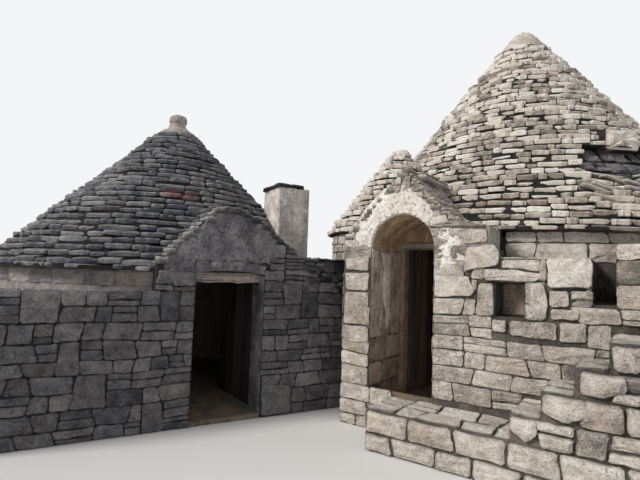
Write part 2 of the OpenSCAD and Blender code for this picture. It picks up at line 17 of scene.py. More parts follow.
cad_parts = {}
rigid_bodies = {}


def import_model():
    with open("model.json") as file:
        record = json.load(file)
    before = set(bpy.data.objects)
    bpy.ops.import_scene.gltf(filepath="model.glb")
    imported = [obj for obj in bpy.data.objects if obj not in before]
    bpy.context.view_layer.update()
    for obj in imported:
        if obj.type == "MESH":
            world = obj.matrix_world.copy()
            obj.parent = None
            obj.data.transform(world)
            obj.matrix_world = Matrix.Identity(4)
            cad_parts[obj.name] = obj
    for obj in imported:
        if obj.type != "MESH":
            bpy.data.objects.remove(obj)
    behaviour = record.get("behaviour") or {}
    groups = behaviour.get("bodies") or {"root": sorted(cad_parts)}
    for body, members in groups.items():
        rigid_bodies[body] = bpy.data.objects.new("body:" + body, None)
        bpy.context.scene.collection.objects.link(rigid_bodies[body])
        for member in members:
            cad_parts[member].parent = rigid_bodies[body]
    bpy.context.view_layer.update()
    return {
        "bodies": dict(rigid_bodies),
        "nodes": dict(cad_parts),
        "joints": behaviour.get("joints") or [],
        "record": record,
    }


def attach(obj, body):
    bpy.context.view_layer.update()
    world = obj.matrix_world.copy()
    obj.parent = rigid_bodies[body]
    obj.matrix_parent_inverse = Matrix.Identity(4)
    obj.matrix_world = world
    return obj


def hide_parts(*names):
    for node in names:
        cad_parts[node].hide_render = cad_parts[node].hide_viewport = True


LOG = logging.getLogger("trullo")

Pair = tuple[float, float]
Colour = tuple[float, float, float]
Outline = Sequence[Pair]
Place = Callable[[float, float, float], Vector]
Piece = bpy.types.Object


class Body(Enum):
    """The bodies of the frame."""

    HOUSE = "house"
    LEFT_LEAF = "left_leaf"
    RIGHT_LEAF = "right_leaf"


def linear(colour: Colour) -> Colour:
    """Linear values of a colour given in display values from 0 to 255."""

    def channel(value: float) -> float:
        """One channel made linear."""
        share = value / 255
        return share / 12.92 if share <= 0.04045 else ((share + 0.055) / 1.055) ** 2.4

    red, green, blue = colour
    return channel(red), channel(green), channel(blue)


# Places on the two fronts


@dataclass(frozen=True)
class Front:
    """A front's own frame: s along the wall, n inwards and z up."""

    x: float
    y: float
    turn: float

    def at(self, s: float, n: float, z: float = 0.0) -> Vector:
        """Place of a point of the front in the row frame."""
        angle = math.radians(self.turn)
        cos, sin = math.cos(angle), math.sin(angle)
        return Vector((self.x + s * cos - n * sin, self.y + s * sin + n * cos, z))

    def face(self, n: float) -> Place:
        """A wall face that looks outwards at depth n."""
        return lambda u, v, d: self.at(u, n - d, v)

    def back(self, n: float) -> Place:
        """A wall face that looks inwards at depth n; u runs against s."""
        return lambda u, v, d: self.at(-u, n + d, v)

    def side_right(self, s: float) -> Place:
        """A face that looks along +s; u is n."""
        return lambda u, v, d: self.at(s + d, u, v)

    def side_left(self, s: float) -> Place:
        """A face that looks along -s; u is -n."""
        return lambda u, v, d: self.at(s - d, -u, v)

    def top(self, z: float) -> Place:
        """A level top at height z; u is s and v is n."""
        return lambda u, v, d: self.at(u, v, z + d)


def around(centre: Vector, angle: float, reach: float, z: float) -> Vector:
    """The point at an angle and a distance from an upright axis."""
    return Vector((centre.x + reach * math.cos(angle), centre.y + reach * math.sin(angle), z))


@dataclass(frozen=True)
class Drum:
    """A round wall about an upright axis, its angles counted from a front's own turn."""

    centre: Vector
    radius: float
    turn: float = 0.0

    def face(self) -> Place:
        """The outer face; u is the arc length from the row's +X."""
        return lambda u, v, d: around(self.centre, u / self.radius, self.radius + d, v)

    def arc(self, degrees: float) -> float:
        """Arc length at an angle of the front's frame."""
        return self.radius * (math.radians(degrees) + math.radians(self.turn))


@dataclass(frozen=True)
class Cone:
    """The surface of a roof: its foot's radius and height, and how fast it narrows."""

    foot_r: float
    foot_z: float
    fall: float

    def radius(self, z: float) -> float:
        """The radius at a height."""
        return self.foot_r - self.fall * (z - self.foot_z)


LEFT = Front(-2.1, -1.8, 30.0)
RIGHT = Front(0.25, -2.0, -35.0)
LEFT_MIDDLE = (-0.08, 2.76)
RIGHT_MIDDLE = (0.70, 3.97)
LEFT_AXIS = LEFT.at(*LEFT_MIDDLE)
RIGHT_AXIS = RIGHT.at(*RIGHT_MIDDLE)
SMALL_AXIS = Vector((0.55, -0.05, 0.0))
LEFT_CONE = Cone(2.76, 1.98, 1.0)
RIGHT_CONE = Cone(3.31, 2.65, 0.771)
PATCH_START, PATCH_END = -99, -61


# Finishes


@dataclass(frozen=True, eq=False)
class Value:
    """What a node gives, with the usual signs of arithmetic."""

    socket: bpy.types.NodeSocket

    @staticmethod
    def of(
        tree: bpy.types.NodeTree, operation: str, a: object, b: object = 0.0, clamp: bool = False,
    ) -> Value:
        """What one math node gives."""
        node = tree.nodes.new("ShaderNodeMath")
        node.operation = operation
        node.use_clamp = clamp
        feed(node.inputs[0], a)
        feed(node.inputs[1], b)
        return Value(node.outputs[0])

    def to(self, operation: str, other: object = 0.0, clamp: bool = False) -> Value:
        """This value and another through one math node."""
        return Value.of(self.socket.id_data, operation, self, other, clamp)

    def __add__(self, other: object) -> Value:
        """The sum."""
        return self.to("ADD", other)

    def __sub__(self, other: object) -> Value:
        """The difference."""
        return self.to("SUBTRACT", other)

    def __rsub__(self, other: object) -> Value:
        """The difference the other way round."""
        return Value.of(self.socket.id_data, "SUBTRACT", other, self)

    def __mul__(self, other: object) -> Value:
        """The product."""
        return self.to("MULTIPLY", other)

    def __truediv__(self, other: object) -> Value:
        """The quotient."""
        return self.to("DIVIDE", other)

    def __gt__(self, other: object) -> Value:
        """1 where this value is greater, and else 0."""
        return self.to("GREATER_THAN", other)

    def __lt__(self, other: object) -> Value:
        """1 where this value is less, and else 0."""
        return self.to("LESS_THAN", other)


def feed(socket: bpy.types.NodeSocket, value: object) -> None:
    """Link a socket to another, or set its value."""
    if isinstance(value, Value):
        value = value.socket
    if isinstance(value, bpy.types.NodeSocket):
        socket.id_data.links.new(value, socket)
    else:
        socket.default_value = value


class Graph:
    """A node tree, built one node after another."""

    def __init__(self, tree: bpy.types.NodeTree) -> None:
        """Start from that tree."""
        self.tree = tree

    def add(
        self, kind: str, inputs: dict[str | int, object] | None = None, **settings: object,
    ) -> bpy.types.Node:
        """Add a node, set it and feed its sockets.

        Args:
            kind: the node's type.
            inputs: what to feed, by the socket's place or name.
            settings: the node's own settings.

        Returns:
            The new node.
        """
        node = self.tree.nodes.new(kind)
        for key, value in settings.items():
            setattr(node, key, value)
        for key, value in (inputs or {}).items():
            if isinstance(key, int):
                feed(node.inputs[key], value)
            else:
                feed(next(s for s in node.inputs if s.name == key and s.enabled), value)
        return node

    def given(self, kind: str, inputs: dict[str | int, object] | None = None, **settings: object) -> Value:
        """What a new node gives at its first socket in use."""
        return Value(next(s for s in self.add(kind, inputs, **settings).outputs if s.enabled))

    def vector(self, x: object, y: object, z: object) -> Value:
        """Three numbers as one vector."""
        return self.given("ShaderNodeCombineXYZ", {0: x, 1: y, 2: z})

    def vectors(self, operation: str, a: object, b: object) -> Value:
        """Two vectors through one node."""
        return self.given("ShaderNodeVectorMath", {0: a, 1: b}, operation=operation)


class Shader(Graph):
    """A material's node tree."""

    def __init__(self, name: str) -> None:
        """Start an empty material of that name."""
        self.material = bpy.data.materials.new(name)
        self.material.use_nodes = True
        super().__init__(self.material.node_tree)
        self.tree.nodes.clear()
        self.surface = self.add("ShaderNodeBsdfPrincipled")
        self.add("ShaderNodeOutputMaterial", {"Surface": self.surface.outputs["BSDF"]})
        self.place = self.add("ShaderNodeTexCoord").outputs["Object"]

    def stretched(self, scale: tuple[float, float, float]) -> Value:
        """The place, scaled differently along each axis."""
        return self.given("ShaderNodeMapping", {"Vector": self.place, "Scale": scale})

    def moved(self, amount: Value) -> Value:
        """The place, moved far off by an amount, so that each stone has its own pattern."""
        return self.vectors("ADD", self.place, self.vector(amount * 37.0, amount * 53.0, amount * 23.0))

    def noise(self, scale: float, detail: float = 4.0, rough: float = 0.55, at: object = None) -> Value:
        """Noise from 0 to 1 at a scale per metre."""
        inputs = {"Vector": at or self.place, "Scale": scale, "Detail": detail, "Roughness": rough}
        return self.given("ShaderNodeTexNoise", inputs)

    def spots(self, scale: float) -> Value:
        """Distance to the nearest of scattered points."""
        return self.given("ShaderNodeTexVoronoi", {"Vector": self.place, "Scale": scale})

    def span(self, value: object, low: float, high: float) -> Value:
        """Value stretched so that low gives 0 and high gives 1, and held there."""
        return self.given("ShaderNodeMapRange", {"Value": value, "From Min": low, "From Max": high})

    def mix(self, share: object, a: object, b: object) -> Value:
        """Two colours mixed by a share; three values are a display colour."""
        node = self.add("ShaderNodeMix", data_type="RGBA")
        feed(node.inputs["Factor"], share)
        for name, value in (("A", a), ("B", b)):
            socket = next(s for s in node.inputs if s.name == name and s.type == "RGBA")
            feed(socket, (*linear(value), 1.0) if isinstance(value, tuple) and len(value) == 3 else value)
        return Value(next(s for s in node.outputs if s.type == "RGBA"))

    def attribute(self, name: str) -> Value:
        """A number kept on the mesh."""
        return Value(self.add("ShaderNodeAttribute", attribute_name=name).outputs["Fac"])

    def finish(self, relief: float, strength: float, height: Value, **values: object) -> bpy.types.Material:
        """Give the surface its relief and its values.

        Args:
            relief: the relief's depth in metres.
            strength: how strongly it shows.
            height: the relief's height from 0 to 1.
            values: the surface's other values, by their names with underscores.

        Returns:
            The finished material.
        """
        bump = self.add("ShaderNodeBump", {"Distance": relief, "Strength": strength, "Height": height})
        feed(self.surface.inputs["Normal"], bump.outputs["Normal"])
        for name, value in values.items():
            feed(self.surface.inputs[name.replace("_", " ")], value)
        return self.material


@dataclass(frozen=True)
class ColourPatch:
    """A ragged patch of other colour about a point, used for old stains and for a painted highlight."""

    at: tuple[float, float, float]
    reach: tuple[float, float, float]
    colour: Colour
    share: float

    def over(self, s: Shader, colour: Value) -> Value:
        """The colour with this ragged patch on it."""
        off = s.vectors("DIVIDE", s.vectors("SUBTRACT", s.place, self.at), self.reach)
        length = s.add("ShaderNodeVectorMath", {0: off}, operation="LENGTH").outputs["Value"]
        ragged = Value(length) + s.noise(14.0, 5.0, 0.7)
        return s.mix(s.span(ragged, 1.55, 1.15) * self.share, colour, self.colour)


@dataclass(frozen=True)
class StoneFinish:
    """Weathered limestone: mottled, pitted, with lichen; its upward faces paler, partly bleaching and partly
    painted highlight, and its joints and slab undersides darkened with painted shade.
    """

    name: str
    dark: Colour
    base: Colour
    pale: Colour
    lichen: Colour = (62, 60, 56)
    lichen_share: float = 0.35
    bleach_and_top_light: float = 0.35
    tone: float = 0.22
    relief: float = 0.024
    colour_patches: tuple[ColourPatch, ...] = ()
    warm: Colour = (178, 142, 104)
    warm_share: float = 0.12

    def make(self) -> bpy.types.Material:
        """Build the material."""
        s = Shader(self.name)
        tone = s.attribute("tone")
        own = s.moved(tone)
        blotch = s.noise(8.0, 7.0, 0.66, own)
        grain = s.noise(64.0, 5.0, 0.75, own)
        value = s.noise(0.8, 3.0) * 0.22 + blotch * 0.44 + grain * 0.34 + tone * (self.tone * 0.5)
        colour = s.mix(s.span(value, 0.37, 0.50), self.dark, self.base)
        colour = s.mix(s.span(value, 0.50, 0.64), colour, self.pale)
        warm = s.span(s.noise(2.1, 3.0, 0.55, own), 0.50, 0.66) * (self.warm_share * 2.0)
        colour = s.mix(warm, colour, self.warm)
        normal = s.add("ShaderNodeNewGeometry").outputs["Normal"]
        up = s.add("ShaderNodeSeparateXYZ", {0: normal}).outputs["Z"]
        # Upward faces turn pale: partly bleaching by weather, partly a painted highlight where light falls
        # from above.
        colour = s.mix(s.span(up, 0.25, 0.95) * self.bleach_and_top_light, colour, self.pale)
        crust = s.span(s.noise(34.0, 7.0, 0.76), 0.50, 0.60) * s.span(s.noise(2.3, 3.0), 0.36, 0.64)
        colour = s.mix(crust.to("MULTIPLY", self.lichen_share * 2.0, clamp=True), colour, self.lichen)
        sparse = s.span(s.noise(5.0, 4.0, 0.6, own), 0.40, 0.62)
        pits = (1.0 - s.span(s.spots(40.0), 0.10, 0.30)) * sparse
        colour = s.mix(pits * 0.75, colour, self.dark)
        # Painted shade, with some soil: in the joints and under and behind the slabs the colour goes nearly
        # black.
        joint_shade_colour = (*(channel * 0.3 for channel in linear(self.dark)), 1.0)
        colour = s.mix(s.attribute("dirt_and_shade") * 0.9, colour, joint_shade_colour)
        for colour_patch in self.colour_patches:
            colour = colour_patch.over(s, colour)
        height = blotch * 1.4 + grain * 0.5 - pits * 0.30
        return s.finish(self.relief, 1.0, height, Base_Color=colour, Roughness=0.92, Specular_IOR_Level=0.25)


@dataclass(frozen=True)
class PlasterFinish:
    """Old lime plaster: streaked, stained and chipped."""

    name: str
    base: Colour
    pale: Colour
    dirt_and_shade: Colour
    dirt_share: float = 0.5

    def make(self) -> bpy.types.Material:
        """Build the material."""
        s = Shader(self.name)
        cloud = s.noise(3.2, 6.0, 0.68)
        fine = s.noise(42.0, 6.0, 0.74)
        streak = s.noise(4.0, 6.0, 0.7, s.stretched((1.3, 1.3, 0.7)))
        value = cloud * 0.7 + fine * 0.3 + s.attribute("tone") * 0.12
        colour = s.mix(s.span(value, 0.40, 0.58), self.base, self.pale)
        colour = s.mix(s.span(streak, 0.46, 0.62) * self.dirt_share, colour, self.dirt_and_shade)
        chips = s.span(s.noise(24.0, 7.0, 0.78), 0.55, 0.62) * 0.7
        colour = s.mix(chips, colour, self.dirt_and_shade)
        height = cloud * 1.2 + fine * 0.5 - chips * 0.6
        return s.finish(0.018, 0.8, height, Base_Color=colour, Roughness=0.94, Specular_IOR_Level=0.2)


@dataclass(frozen=True)
class BoardFinish:
    """Weathered boards with upright grain."""

    name: str
    dark: Colour
    base: Colour
    pale: Colour

    def make(self) -> bpy.types.Material:
        """Build the material."""
        s = Shader(self.name)
        along = s.stretched((1.0, 1.0, 0.045))
        fibre = s.noise(95.0, 6.0, 0.7, along)
        value = fibre * 0.55 + s.noise(14.0, 4.0, 0.6, along) * 0.45 + s.attribute("tone") * 0.10
        colour = s.mix(s.span(value, 0.36, 0.52), self.dark, self.base)
        colour = s.mix(s.span(value, 0.52, 0.68), colour, self.pale)
        return s.finish(0.004, 0.8, value, Base_Color=colour, Roughness=s.span(fibre, -0.6, 1.4))


@dataclass(frozen=True)
class IronFinish:
    """Rusted wrought iron."""

    name: str
    metal: Colour
    rust: Colour

    def make(self) -> bpy.types.Material:
        """Build the material."""
        s = Shader(self.name)
        patches = s.noise(40.0, 6.0, 0.7)
        colour = s.mix(s.span(patches, 0.40, 0.58), self.metal, self.rust)
        return s.finish(0.0015, 0.8, patches, Base_Color=colour, Metallic=s.span(patches, 0.62, 0.36),
                        Roughness=s.span(patches, 0.0, 0.9))


Finish = StoneFinish | PlasterFinish | BoardFinish | IronFinish

# Painted shade: the left side's slabs are darker and bluer than the same limestone on the right, standing for
# the shade they lie in.
SHADED_SLABS = StoneFinish(
    "left_slabs", (76, 78, 85), (118, 120, 127), (182, 180, 176), bleach_and_top_light=0.6, tone=0.14, lichen_share=0.25,
    warm=(164, 148, 126), warm_share=0.10,
    colour_patches=(
        # Painted highlight: this first, soft cream patch on the cone's left flank stands for sunlight falling
        # there.
        ColourPatch((-5.9, -0.2, 2.5), (1.15, 1.15, 1.1), (190, 172, 152), 0.45),
        ColourPatch((-2.95, -0.97, 3.10), (0.32, 0.32, 0.09), (150, 78, 82), 0.65),
        ColourPatch((-2.90, -1.16, 2.80), (0.30, 0.30, 0.20), (92, 112, 140), 0.4),
    ),
)
CREAM_SLABS = StoneFinish(
    "right_slabs", (140, 131, 122), (226, 215, 201), (250, 245, 236), bleach_and_top_light=0.6, tone=0.28,
    lichen_share=0.18, lichen=(136, 131, 127), warm=(208, 178, 148), warm_share=0.14,
)
SMALL_SLABS = StoneFinish(
    "small_slabs", (184, 174, 162), (238, 229, 217), (251, 247, 240), bleach_and_top_light=0.6, tone=0.2, lichen_share=0.15,
    lichen=(150, 143, 136), warm=(220, 196, 168), warm_share=0.16,
)
# Painted shade: the left front's stones are darker and bluer than the same limestone on the right, standing
# for the shade that the front lies in.
SHADED_GREY_STONES = StoneFinish(
    "left_shaded_stones", (58, 58, 62), (110, 109, 112), (158, 155, 154), tone=0.18, lichen_share=0.3,
    warm=(150, 130, 120), warm_share=0.10,
)
ROUND_STONES = StoneFinish(
    "round_stones", (124, 121, 120), (178, 172, 167), (212, 206, 199), tone=0.18, warm=(186, 164, 148),
    warm_share=0.14, lichen_share=0.25,
)
CREAM_STONES = StoneFinish(
    "right_stones", (112, 107, 102), (194, 184, 173), (240, 233, 223), tone=0.22, lichen=(110, 109, 110),
    lichen_share=0.4, warm=(196, 166, 134), warm_share=0.12,
)
WARM_STONES = StoneFinish(
    "arch_stones", (120, 106, 94), (182, 166, 150), (216, 203, 190), tone=0.22, warm=(186, 152, 130),
    warm_share=0.25,
)
PINK_STONES = StoneFinish(
    "lintel_stones", (106, 99, 95), (172, 163, 157), (216, 208, 202), tone=0.15, bleach_and_top_light=0.1,
    warm=(190, 160, 146), warm_share=0.18, lichen_share=0.25,
)
INNER_STONES = StoneFinish(
    "inner_stones", (60, 54, 46), (120, 110, 96), (160, 150, 134), bleach_and_top_light=0.1, tone=0.2, relief=0.03,
)
FLOOR_STONES = StoneFinish(
    "floor_stones", (74, 66, 56), (136, 124, 108), (172, 162, 146), bleach_and_top_light=0.1, warm_share=0.25,
)
DARK_SLAB = StoneFinish(
    "cap_slabs", (50, 48, 48), (98, 93, 88), (140, 133, 125), bleach_and_top_light=0.3, tone=0.3, lichen_share=0.5,
)
# Painted shade: the cones' inner surface, seen only between and behind the slabs and in the fallen patch, is
# nearly black.
CORE_SHADE = StoneFinish("cone_core_shade", (22, 21, 21), (44, 42, 40), (70, 66, 62), bleach_and_top_light=0.0, lichen_share=0.0,
                   warm_share=0.0)
# Painted shade: the left walls' faces behind the stones are nearly black, so that the dry joints between them
# read as deep shaded gaps.
JOINT_SHADE = StoneFinish(
    "left_joint_shade", (32, 31, 33), (54, 53, 54), (86, 83, 82), bleach_and_top_light=0.0, lichen_share=0.0, warm_share=0.0,
)
PALE_MORTAR = StoneFinish(
    "right_mortar", (54, 50, 47), (92, 87, 81), (142, 135, 126), bleach_and_top_light=0.0, lichen_share=0.0,
    warm_share=0.05,
)
GREY_PLASTER = PlasterFinish("grey_plaster", (96, 95, 99), (146, 143, 145), (66, 64, 66), 0.6)
WHITE_PLASTER = PlasterFinish("white_plaster", (222, 213, 203), (246, 240, 231), (166, 158, 152), 0.3)
OCHRE_PLASTER = PlasterFinish("ochre_plaster", (176, 146, 114), (222, 199, 168), (118, 98, 80), 0.6)
REVEAL_PLASTER = PlasterFinish("reveal_plaster", (170, 153, 138), (224, 211, 200), (98, 86, 78), 0.6)
CHIMNEY_PLASTER = PlasterFinish("chimney_plaster", (188, 181, 175), (246, 240, 232), (122, 116, 113), 0.45)
TIP_PLASTER = PlasterFinish("tip_plaster", (176, 166, 155), (230, 220, 208), (120, 112, 105), 0.35)
GREY_BOARDS = BoardFinish("left_boards", (28, 26, 26), (62, 58, 56), (96, 90, 86))
BROWN_BOARDS = BoardFinish("right_boards", (78, 70, 66), (146, 132, 122), (182, 168, 155))
RUSTED_IRON = IronFinish("iron", (48, 44, 42), (96, 58, 38))


class Paint:
    """The finishes in use, each made once."""

    made: dict[str, bpy.types.Material] = {}

    @classmethod
    def of(cls, finish: Finish) -> bpy.types.Material:
        """The material of a finish."""
        if finish.name not in cls.made:
            cls.made[finish.name] = finish.make()
        return cls.made[finish.name]


def linked(name: str, data: bpy.types.ID) -> Piece:
    """A new object in the scene."""
    piece = bpy.data.objects.new(name, data)
    bpy.context.scene.collection.objects.link(piece)
    return piece


def meshed(name: str, shell: bmesh.types.BMesh) -> bpy.types.Mesh:
    """A new mesh of what a shell holds; the shell is freed."""
    mesh = bpy.data.meshes.new(name)
    shell.to_mesh(mesh)
    shell.free()
    return mesh


def painted(mesh: bpy.types.Mesh, finish: Finish) -> bpy.types.Mesh:
    """The mesh with that finish alone."""
    mesh.materials.clear()
    mesh.materials.append(Paint.of(finish))
    return mesh


def tie(
    name: str, mesh: bpy.types.Mesh, finish: Finish, body: Body = Body.HOUSE,
    replaces: Sequence[str] = (),
) -> None:
    """Make a mesh a finished piece that rides on its body.

    Args:
        name: the piece's name.
        mesh: its mesh, in the row frame.
        finish: what it is made of.
        body: the body that carries it.
        replaces: the nodes that it stands for.
    """
    piece = linked(name, painted(mesh, finish))
    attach(piece, body.value)
    if replaces:
        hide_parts(*replaces)
    LOG.info("%s: %d faces on %s", name, len(mesh.polygons), body.value)


# Stones laid one by one


def spans(outlines: Sequence[Outline], v: float) -> list[Pair]:
    """The stretches of a level line inside the outlines, which cut each other out."""
    cuts = []
    for outline in outlines:
        for (u0, v0), (u1, v1) in zip(outline, [*outline[1:], outline[0]]):
            if (v0 <= v) != (v1 <= v):
                cuts.append(u0 + (v - v0) / (v1 - v0) * (u1 - u0))
    cuts.sort()
    return list(zip(cuts[::2], cuts[1::2]))


def inside(outlines: Sequence[Outline], u: float, v: float) -> bool:
    """Whether a point lies in any of the outlines."""
    return any(low <= u <= high for outline in outlines for low, high in spans([outline], v))


def rectangle(u0: float, v0: float, u1: float, v1: float) -> list[Pair]:
    """Outline of a level rectangle."""
    return [(u0, v0), (u1, v0), (u1, v1), (u0, v1)]


@dataclass
class Laying:
    """How the stones of a wall are laid, in metres."""

    rows: Pair = (0.14, 0.26)
    widths: Pair = (0.18, 0.46)
    proud: Pair = (0.006, 0.022)
    joint: float = 0.006
    bulge: float = 0.004
    rough: float = 0.013
    bevel: float = 0.010
    wave: float = 0.02
    split: float = 0.2
    tall: float = 0.1
    missing: float = 0.0


# How a row ends and where its stones split or taper, in metres apart from the share
LEAST_SHARE = 0.55
LEAN = 0.03
TALLEST = 0.5
SPLIT_FROM = 0.15
CALM = 0.15
NARROWEST = 0.045
POINTED = 0.015


@dataclass
class StoneHeap:
    """Stones gathered into one mesh, each with its own tone."""

    seed: int
    points: list[Vector] = field(default_factory=list)
    faces: list[tuple[int, ...]] = field(default_factory=list)
    tones: list[float] = field(default_factory=list)
    # How dark each point is painted: mostly shade in the joints, partly soil.
    dirt_and_shade: list[float] = field(default_factory=list)

    def __post_init__(self) -> None:
        """Start the heap's own random draws."""
        self.rng = random.Random(self.seed)

    def worn(self, corners: Outline, cut: float = 0.028) -> list[Pair]:
        """Outline with cut corners and uneven edges.

        Args:
            corners: the stone's corners, anticlockwise.
            cut: the most that a corner loses, in metres.

        Returns:
            Four points for each corner.
        """
        rng = self.rng
        starts = []
        ends = []
        count = len(corners)
        for i, corner in enumerate(corners):
            here = Vector(corner)
            before = Vector(corners[i - 1]) - here
            after = Vector(corners[(i + 1) % count]) - here
            ends.append(here + before.normalized() * min(before.length * rng.uniform(0.05, 0.20), cut))
            starts.append(here + after.normalized() * min(after.length * rng.uniform(0.05, 0.20), cut))
        ring = []
        for i in range(count):
            edge = ends[(i + 1) % count] - starts[i]
            out = Vector((edge.y, -edge.x)).normalized() * min(edge.length * 0.06, 0.012)
            ring += [ends[i], starts[i]]
            for low in (0.22, 0.58):
                ring.append(starts[i] + edge * rng.uniform(low, low + 0.2) + out * rng.uniform(-1.0, 0.5))
        return [(p.x, p.y) for p in ring]

    def stone(
        self, place: Place, corners: Outline, laying: Laying, proud: float | None = None,
        tone: float | None = None, sunk: float = 0.03,
    ) -> None:
        """Add one stone on a face.

        Args:
            place: where the face's points lie.
            corners: the stone's corners on the face, anticlockwise.
            laying: the wall's way of laying.
            proud: how far it stands out, or None for a random amount.
            tone: its tone from -1 to 1, or None for a random one.
            sunk: how deep it is set behind the face.
        """
        rng = self.rng
        proud = rng.uniform(*laying.proud) if proud is None else proud
        tone = max(-1.0, min(1.0, rng.gauss(0.0, 0.45))) if tone is None else tone + rng.uniform(-0.04, 0.04)
        ring = self.worn(corners)
        us = [p[0] for p in ring]
        vs = [p[1] for p in ring]
        cu, cv = sum(us) / len(us), sum(vs) / len(vs)
        half_u = max((max(us) - min(us)) / 2, 0.01)
        half_v = max((max(vs) - min(vs)) / 2, 0.01)
        edge = min(laying.bevel, half_u * 0.35, half_v * 0.35)
        lean_u, lean_v = rng.uniform(-0.04, 0.04), rng.uniform(-0.05, 0.05)
        shift = rng.uniform(0.0, 90.0)
        first = len(self.points)
        # Each layer: inset, depth, unevenness and darkness; the side sunk into the joint is darkest, as
        # painted shade.
        layers = (
            (0.0, -sunk, 0.0, 1.0), (0.0, proud * 0.4, 0.5, 0.75), (edge * 0.3, proud * 0.85, 1.0, 0.25),
            (edge, proud, 1.0, 0.0), (min(half_u, half_v) * 0.5, proud + laying.bulge, 1.7, 0.0),
        )
        for inset, depth, uneven, dirt_and_shade in layers:
            for u, v in ring:
                pu = cu + (u - cu) * (1 - inset / half_u)
                pv = cv + (v - cv) * (1 - inset / half_v)
                bump = self._rough(pu, pv, shift) * laying.rough * uneven
                tilt = (pu - cu) * lean_u + (pv - cv) * lean_v if uneven else 0.0
                self.points.append(place(pu, pv, max(depth + bump + tilt, 0.003) if uneven else depth))
                self.dirt_and_shade.append(dirt_and_shade)
        middle = proud + laying.bulge + self._rough(cu, cv, shift) * laying.rough * 1.7
        self.points.append(place(cu, cv, max(middle, 0.003)))
        self.dirt_and_shade.append(0.0)
        size = len(ring)
        last = len(layers) - 1
        for level in range(last):
            low, high = first + level * size, first + (level + 1) * size
            for i in range(size):
                j = (i + 1) % size
                self.faces.append((low + i, low + j, high + j, high + i))
        top = first + last * size
        self.faces += [(top + i, top + (i + 1) % size, top + size) for i in range(size)]
        self.faces.append(tuple(first + i for i in reversed(range(size))))
        self.tones += [tone] * (len(layers) * size + 1)

    @staticmethod
    def _rough(u: float, v: float, shift: float) -> float:
        """Unevenness of a stone's face, about from -1 to 1."""
        return noise.noise(Vector((u * 9, v * 9, shift))) + 0.6 * noise.noise(Vector((u * 31, v * 31, shift)))

    def wall(
        self, place: Place, outlines: Sequence[Outline], laying: Laying, bare: Sequence[Outline] = (),
    ) -> None:
        """Fill a face with rows of stones.

        Args:
            place: where the face's points lie.
            outlines: the face's outline, and the outlines that are cut out of it.
            laying: how the stones are laid.
            bare: outlines where no stone is laid, because something covers the wall.
        """
        rng = self.rng
        heights = [v for outline in outlines for _, v in outline]
        low, high = min(heights), max(heights)
        lines = [low]
        while lines[-1] < high - laying.rows[0] * 0.6:
            lines.append(min(lines[-1] + rng.uniform(*laying.rows), high))
        lines[-1] = high
        taken: dict[int, list[Pair]] = {}
        for row, (v0, v1) in enumerate(zip(lines, lines[1:])):
            middle = (v0 + v1) / 2
            below, above = spans(outlines, v0 + 0.012), spans(outlines, v1 - 0.012)
            for start, end in spans(outlines, middle):
                foot = self._nearest(below, start, end)
                head = self._nearest(above, start, end)
                self._row(
                    place, (start, end), foot, head, (v0, v1), (low, high), row, taken, lines, laying, bare,
                )

    @staticmethod
    def _nearest(found: list[Pair], start: float, end: float) -> Pair:
        """The stretch that shares most with this one, or this one."""
        best = max(found, key=lambda s: min(s[1], end) - max(s[0], start), default=(start, end))
        low = best[0] if abs(best[0] - start) < 0.25 else start
        high = best[1] if abs(best[1] - end) < 0.25 else end
        return (low, high) if high - low > 0.02 else (start, end)

    def _row(
        self, place: Place, stretch: Pair, foot: Pair, head: Pair, levels: Pair, bounds: Pair, row: int,
        taken: dict[int, list[Pair]], lines: list[float], laying: Laying, bare: Sequence[Outline],
    ) -> None:
        """Lay one row of stones between its two ends."""
        rng = self.rng
        start, end = stretch
        v0, v1 = levels
        least = laying.widths[0] * LEAST_SHARE
        cuts = [start]
        lowest = max(start, foot[0], head[0]) + LEAN
        highest = min(end, foot[1], head[1]) - LEAN
        marks = sorted(edge for stretch in taken.get(row, []) for edge in stretch if start < edge < end)
        while cuts[-1] < end - 1e-6:
            step = rng.uniform(*laying.widths)
            following = max(cuts[-1] + step, lowest)
            if end - following < least or following > highest:
                following = end
            mark = next((edge for edge in marks if edge > cuts[-1] + 1e-6), end)
            cuts.append(mark if following > mark - least else following)
        lean = 0.0
        for i, (a, b) in enumerate(zip(cuts, cuts[1:])):
            following_lean = 0.0 if b in marks else rng.uniform(-LEAN, LEAN)
            a0, a1 = (foot[0], head[0]) if i == 0 else (a + lean, a - lean)
            b0, b1 = (foot[1], head[1]) if i == len(cuts) - 2 else (b + following_lean, b - following_lean)
            lean = following_lean
            middle = (a + b) / 2
            if any(x0 < middle < x1 for x0, x1 in taken.get(row, [])) or inside(bare, middle, (v0 + v1) / 2):
                continue
            if rng.random() < laying.missing:
                continue
            top = v1
            roll = rng.random()
            last = len(lines) - 2
            if roll < laying.tall and row < last and lines[row + 2] - v0 < TALLEST and 0 < i < len(cuts) - 2:
                top = lines[row + 2]
                taken.setdefault(row + 1, []).append((a, b))
            cells = [(v0, top)]
            if laying.tall < roll < laying.tall + laying.split and top - v0 > SPLIT_FROM:
                part = v0 + (top - v0) * rng.uniform(0.36, 0.64)
                cells = [(v0, part), (part, top)]
            for c0, c1 in cells:
                self._cell(place, (a0, b0, a1, b1), (c0, c1), (v0, top), bounds, laying)

    def _cell(
        self, place: Place, ends: tuple[float, float, float, float], cell: Pair, levels: Pair,
        bounds: Pair, laying: Laying,
    ) -> None:
        """Lay one stone into its cell of the row."""
        a0, b0, a1, b1 = ends
        v0, v1 = levels
        half = laying.joint / 2

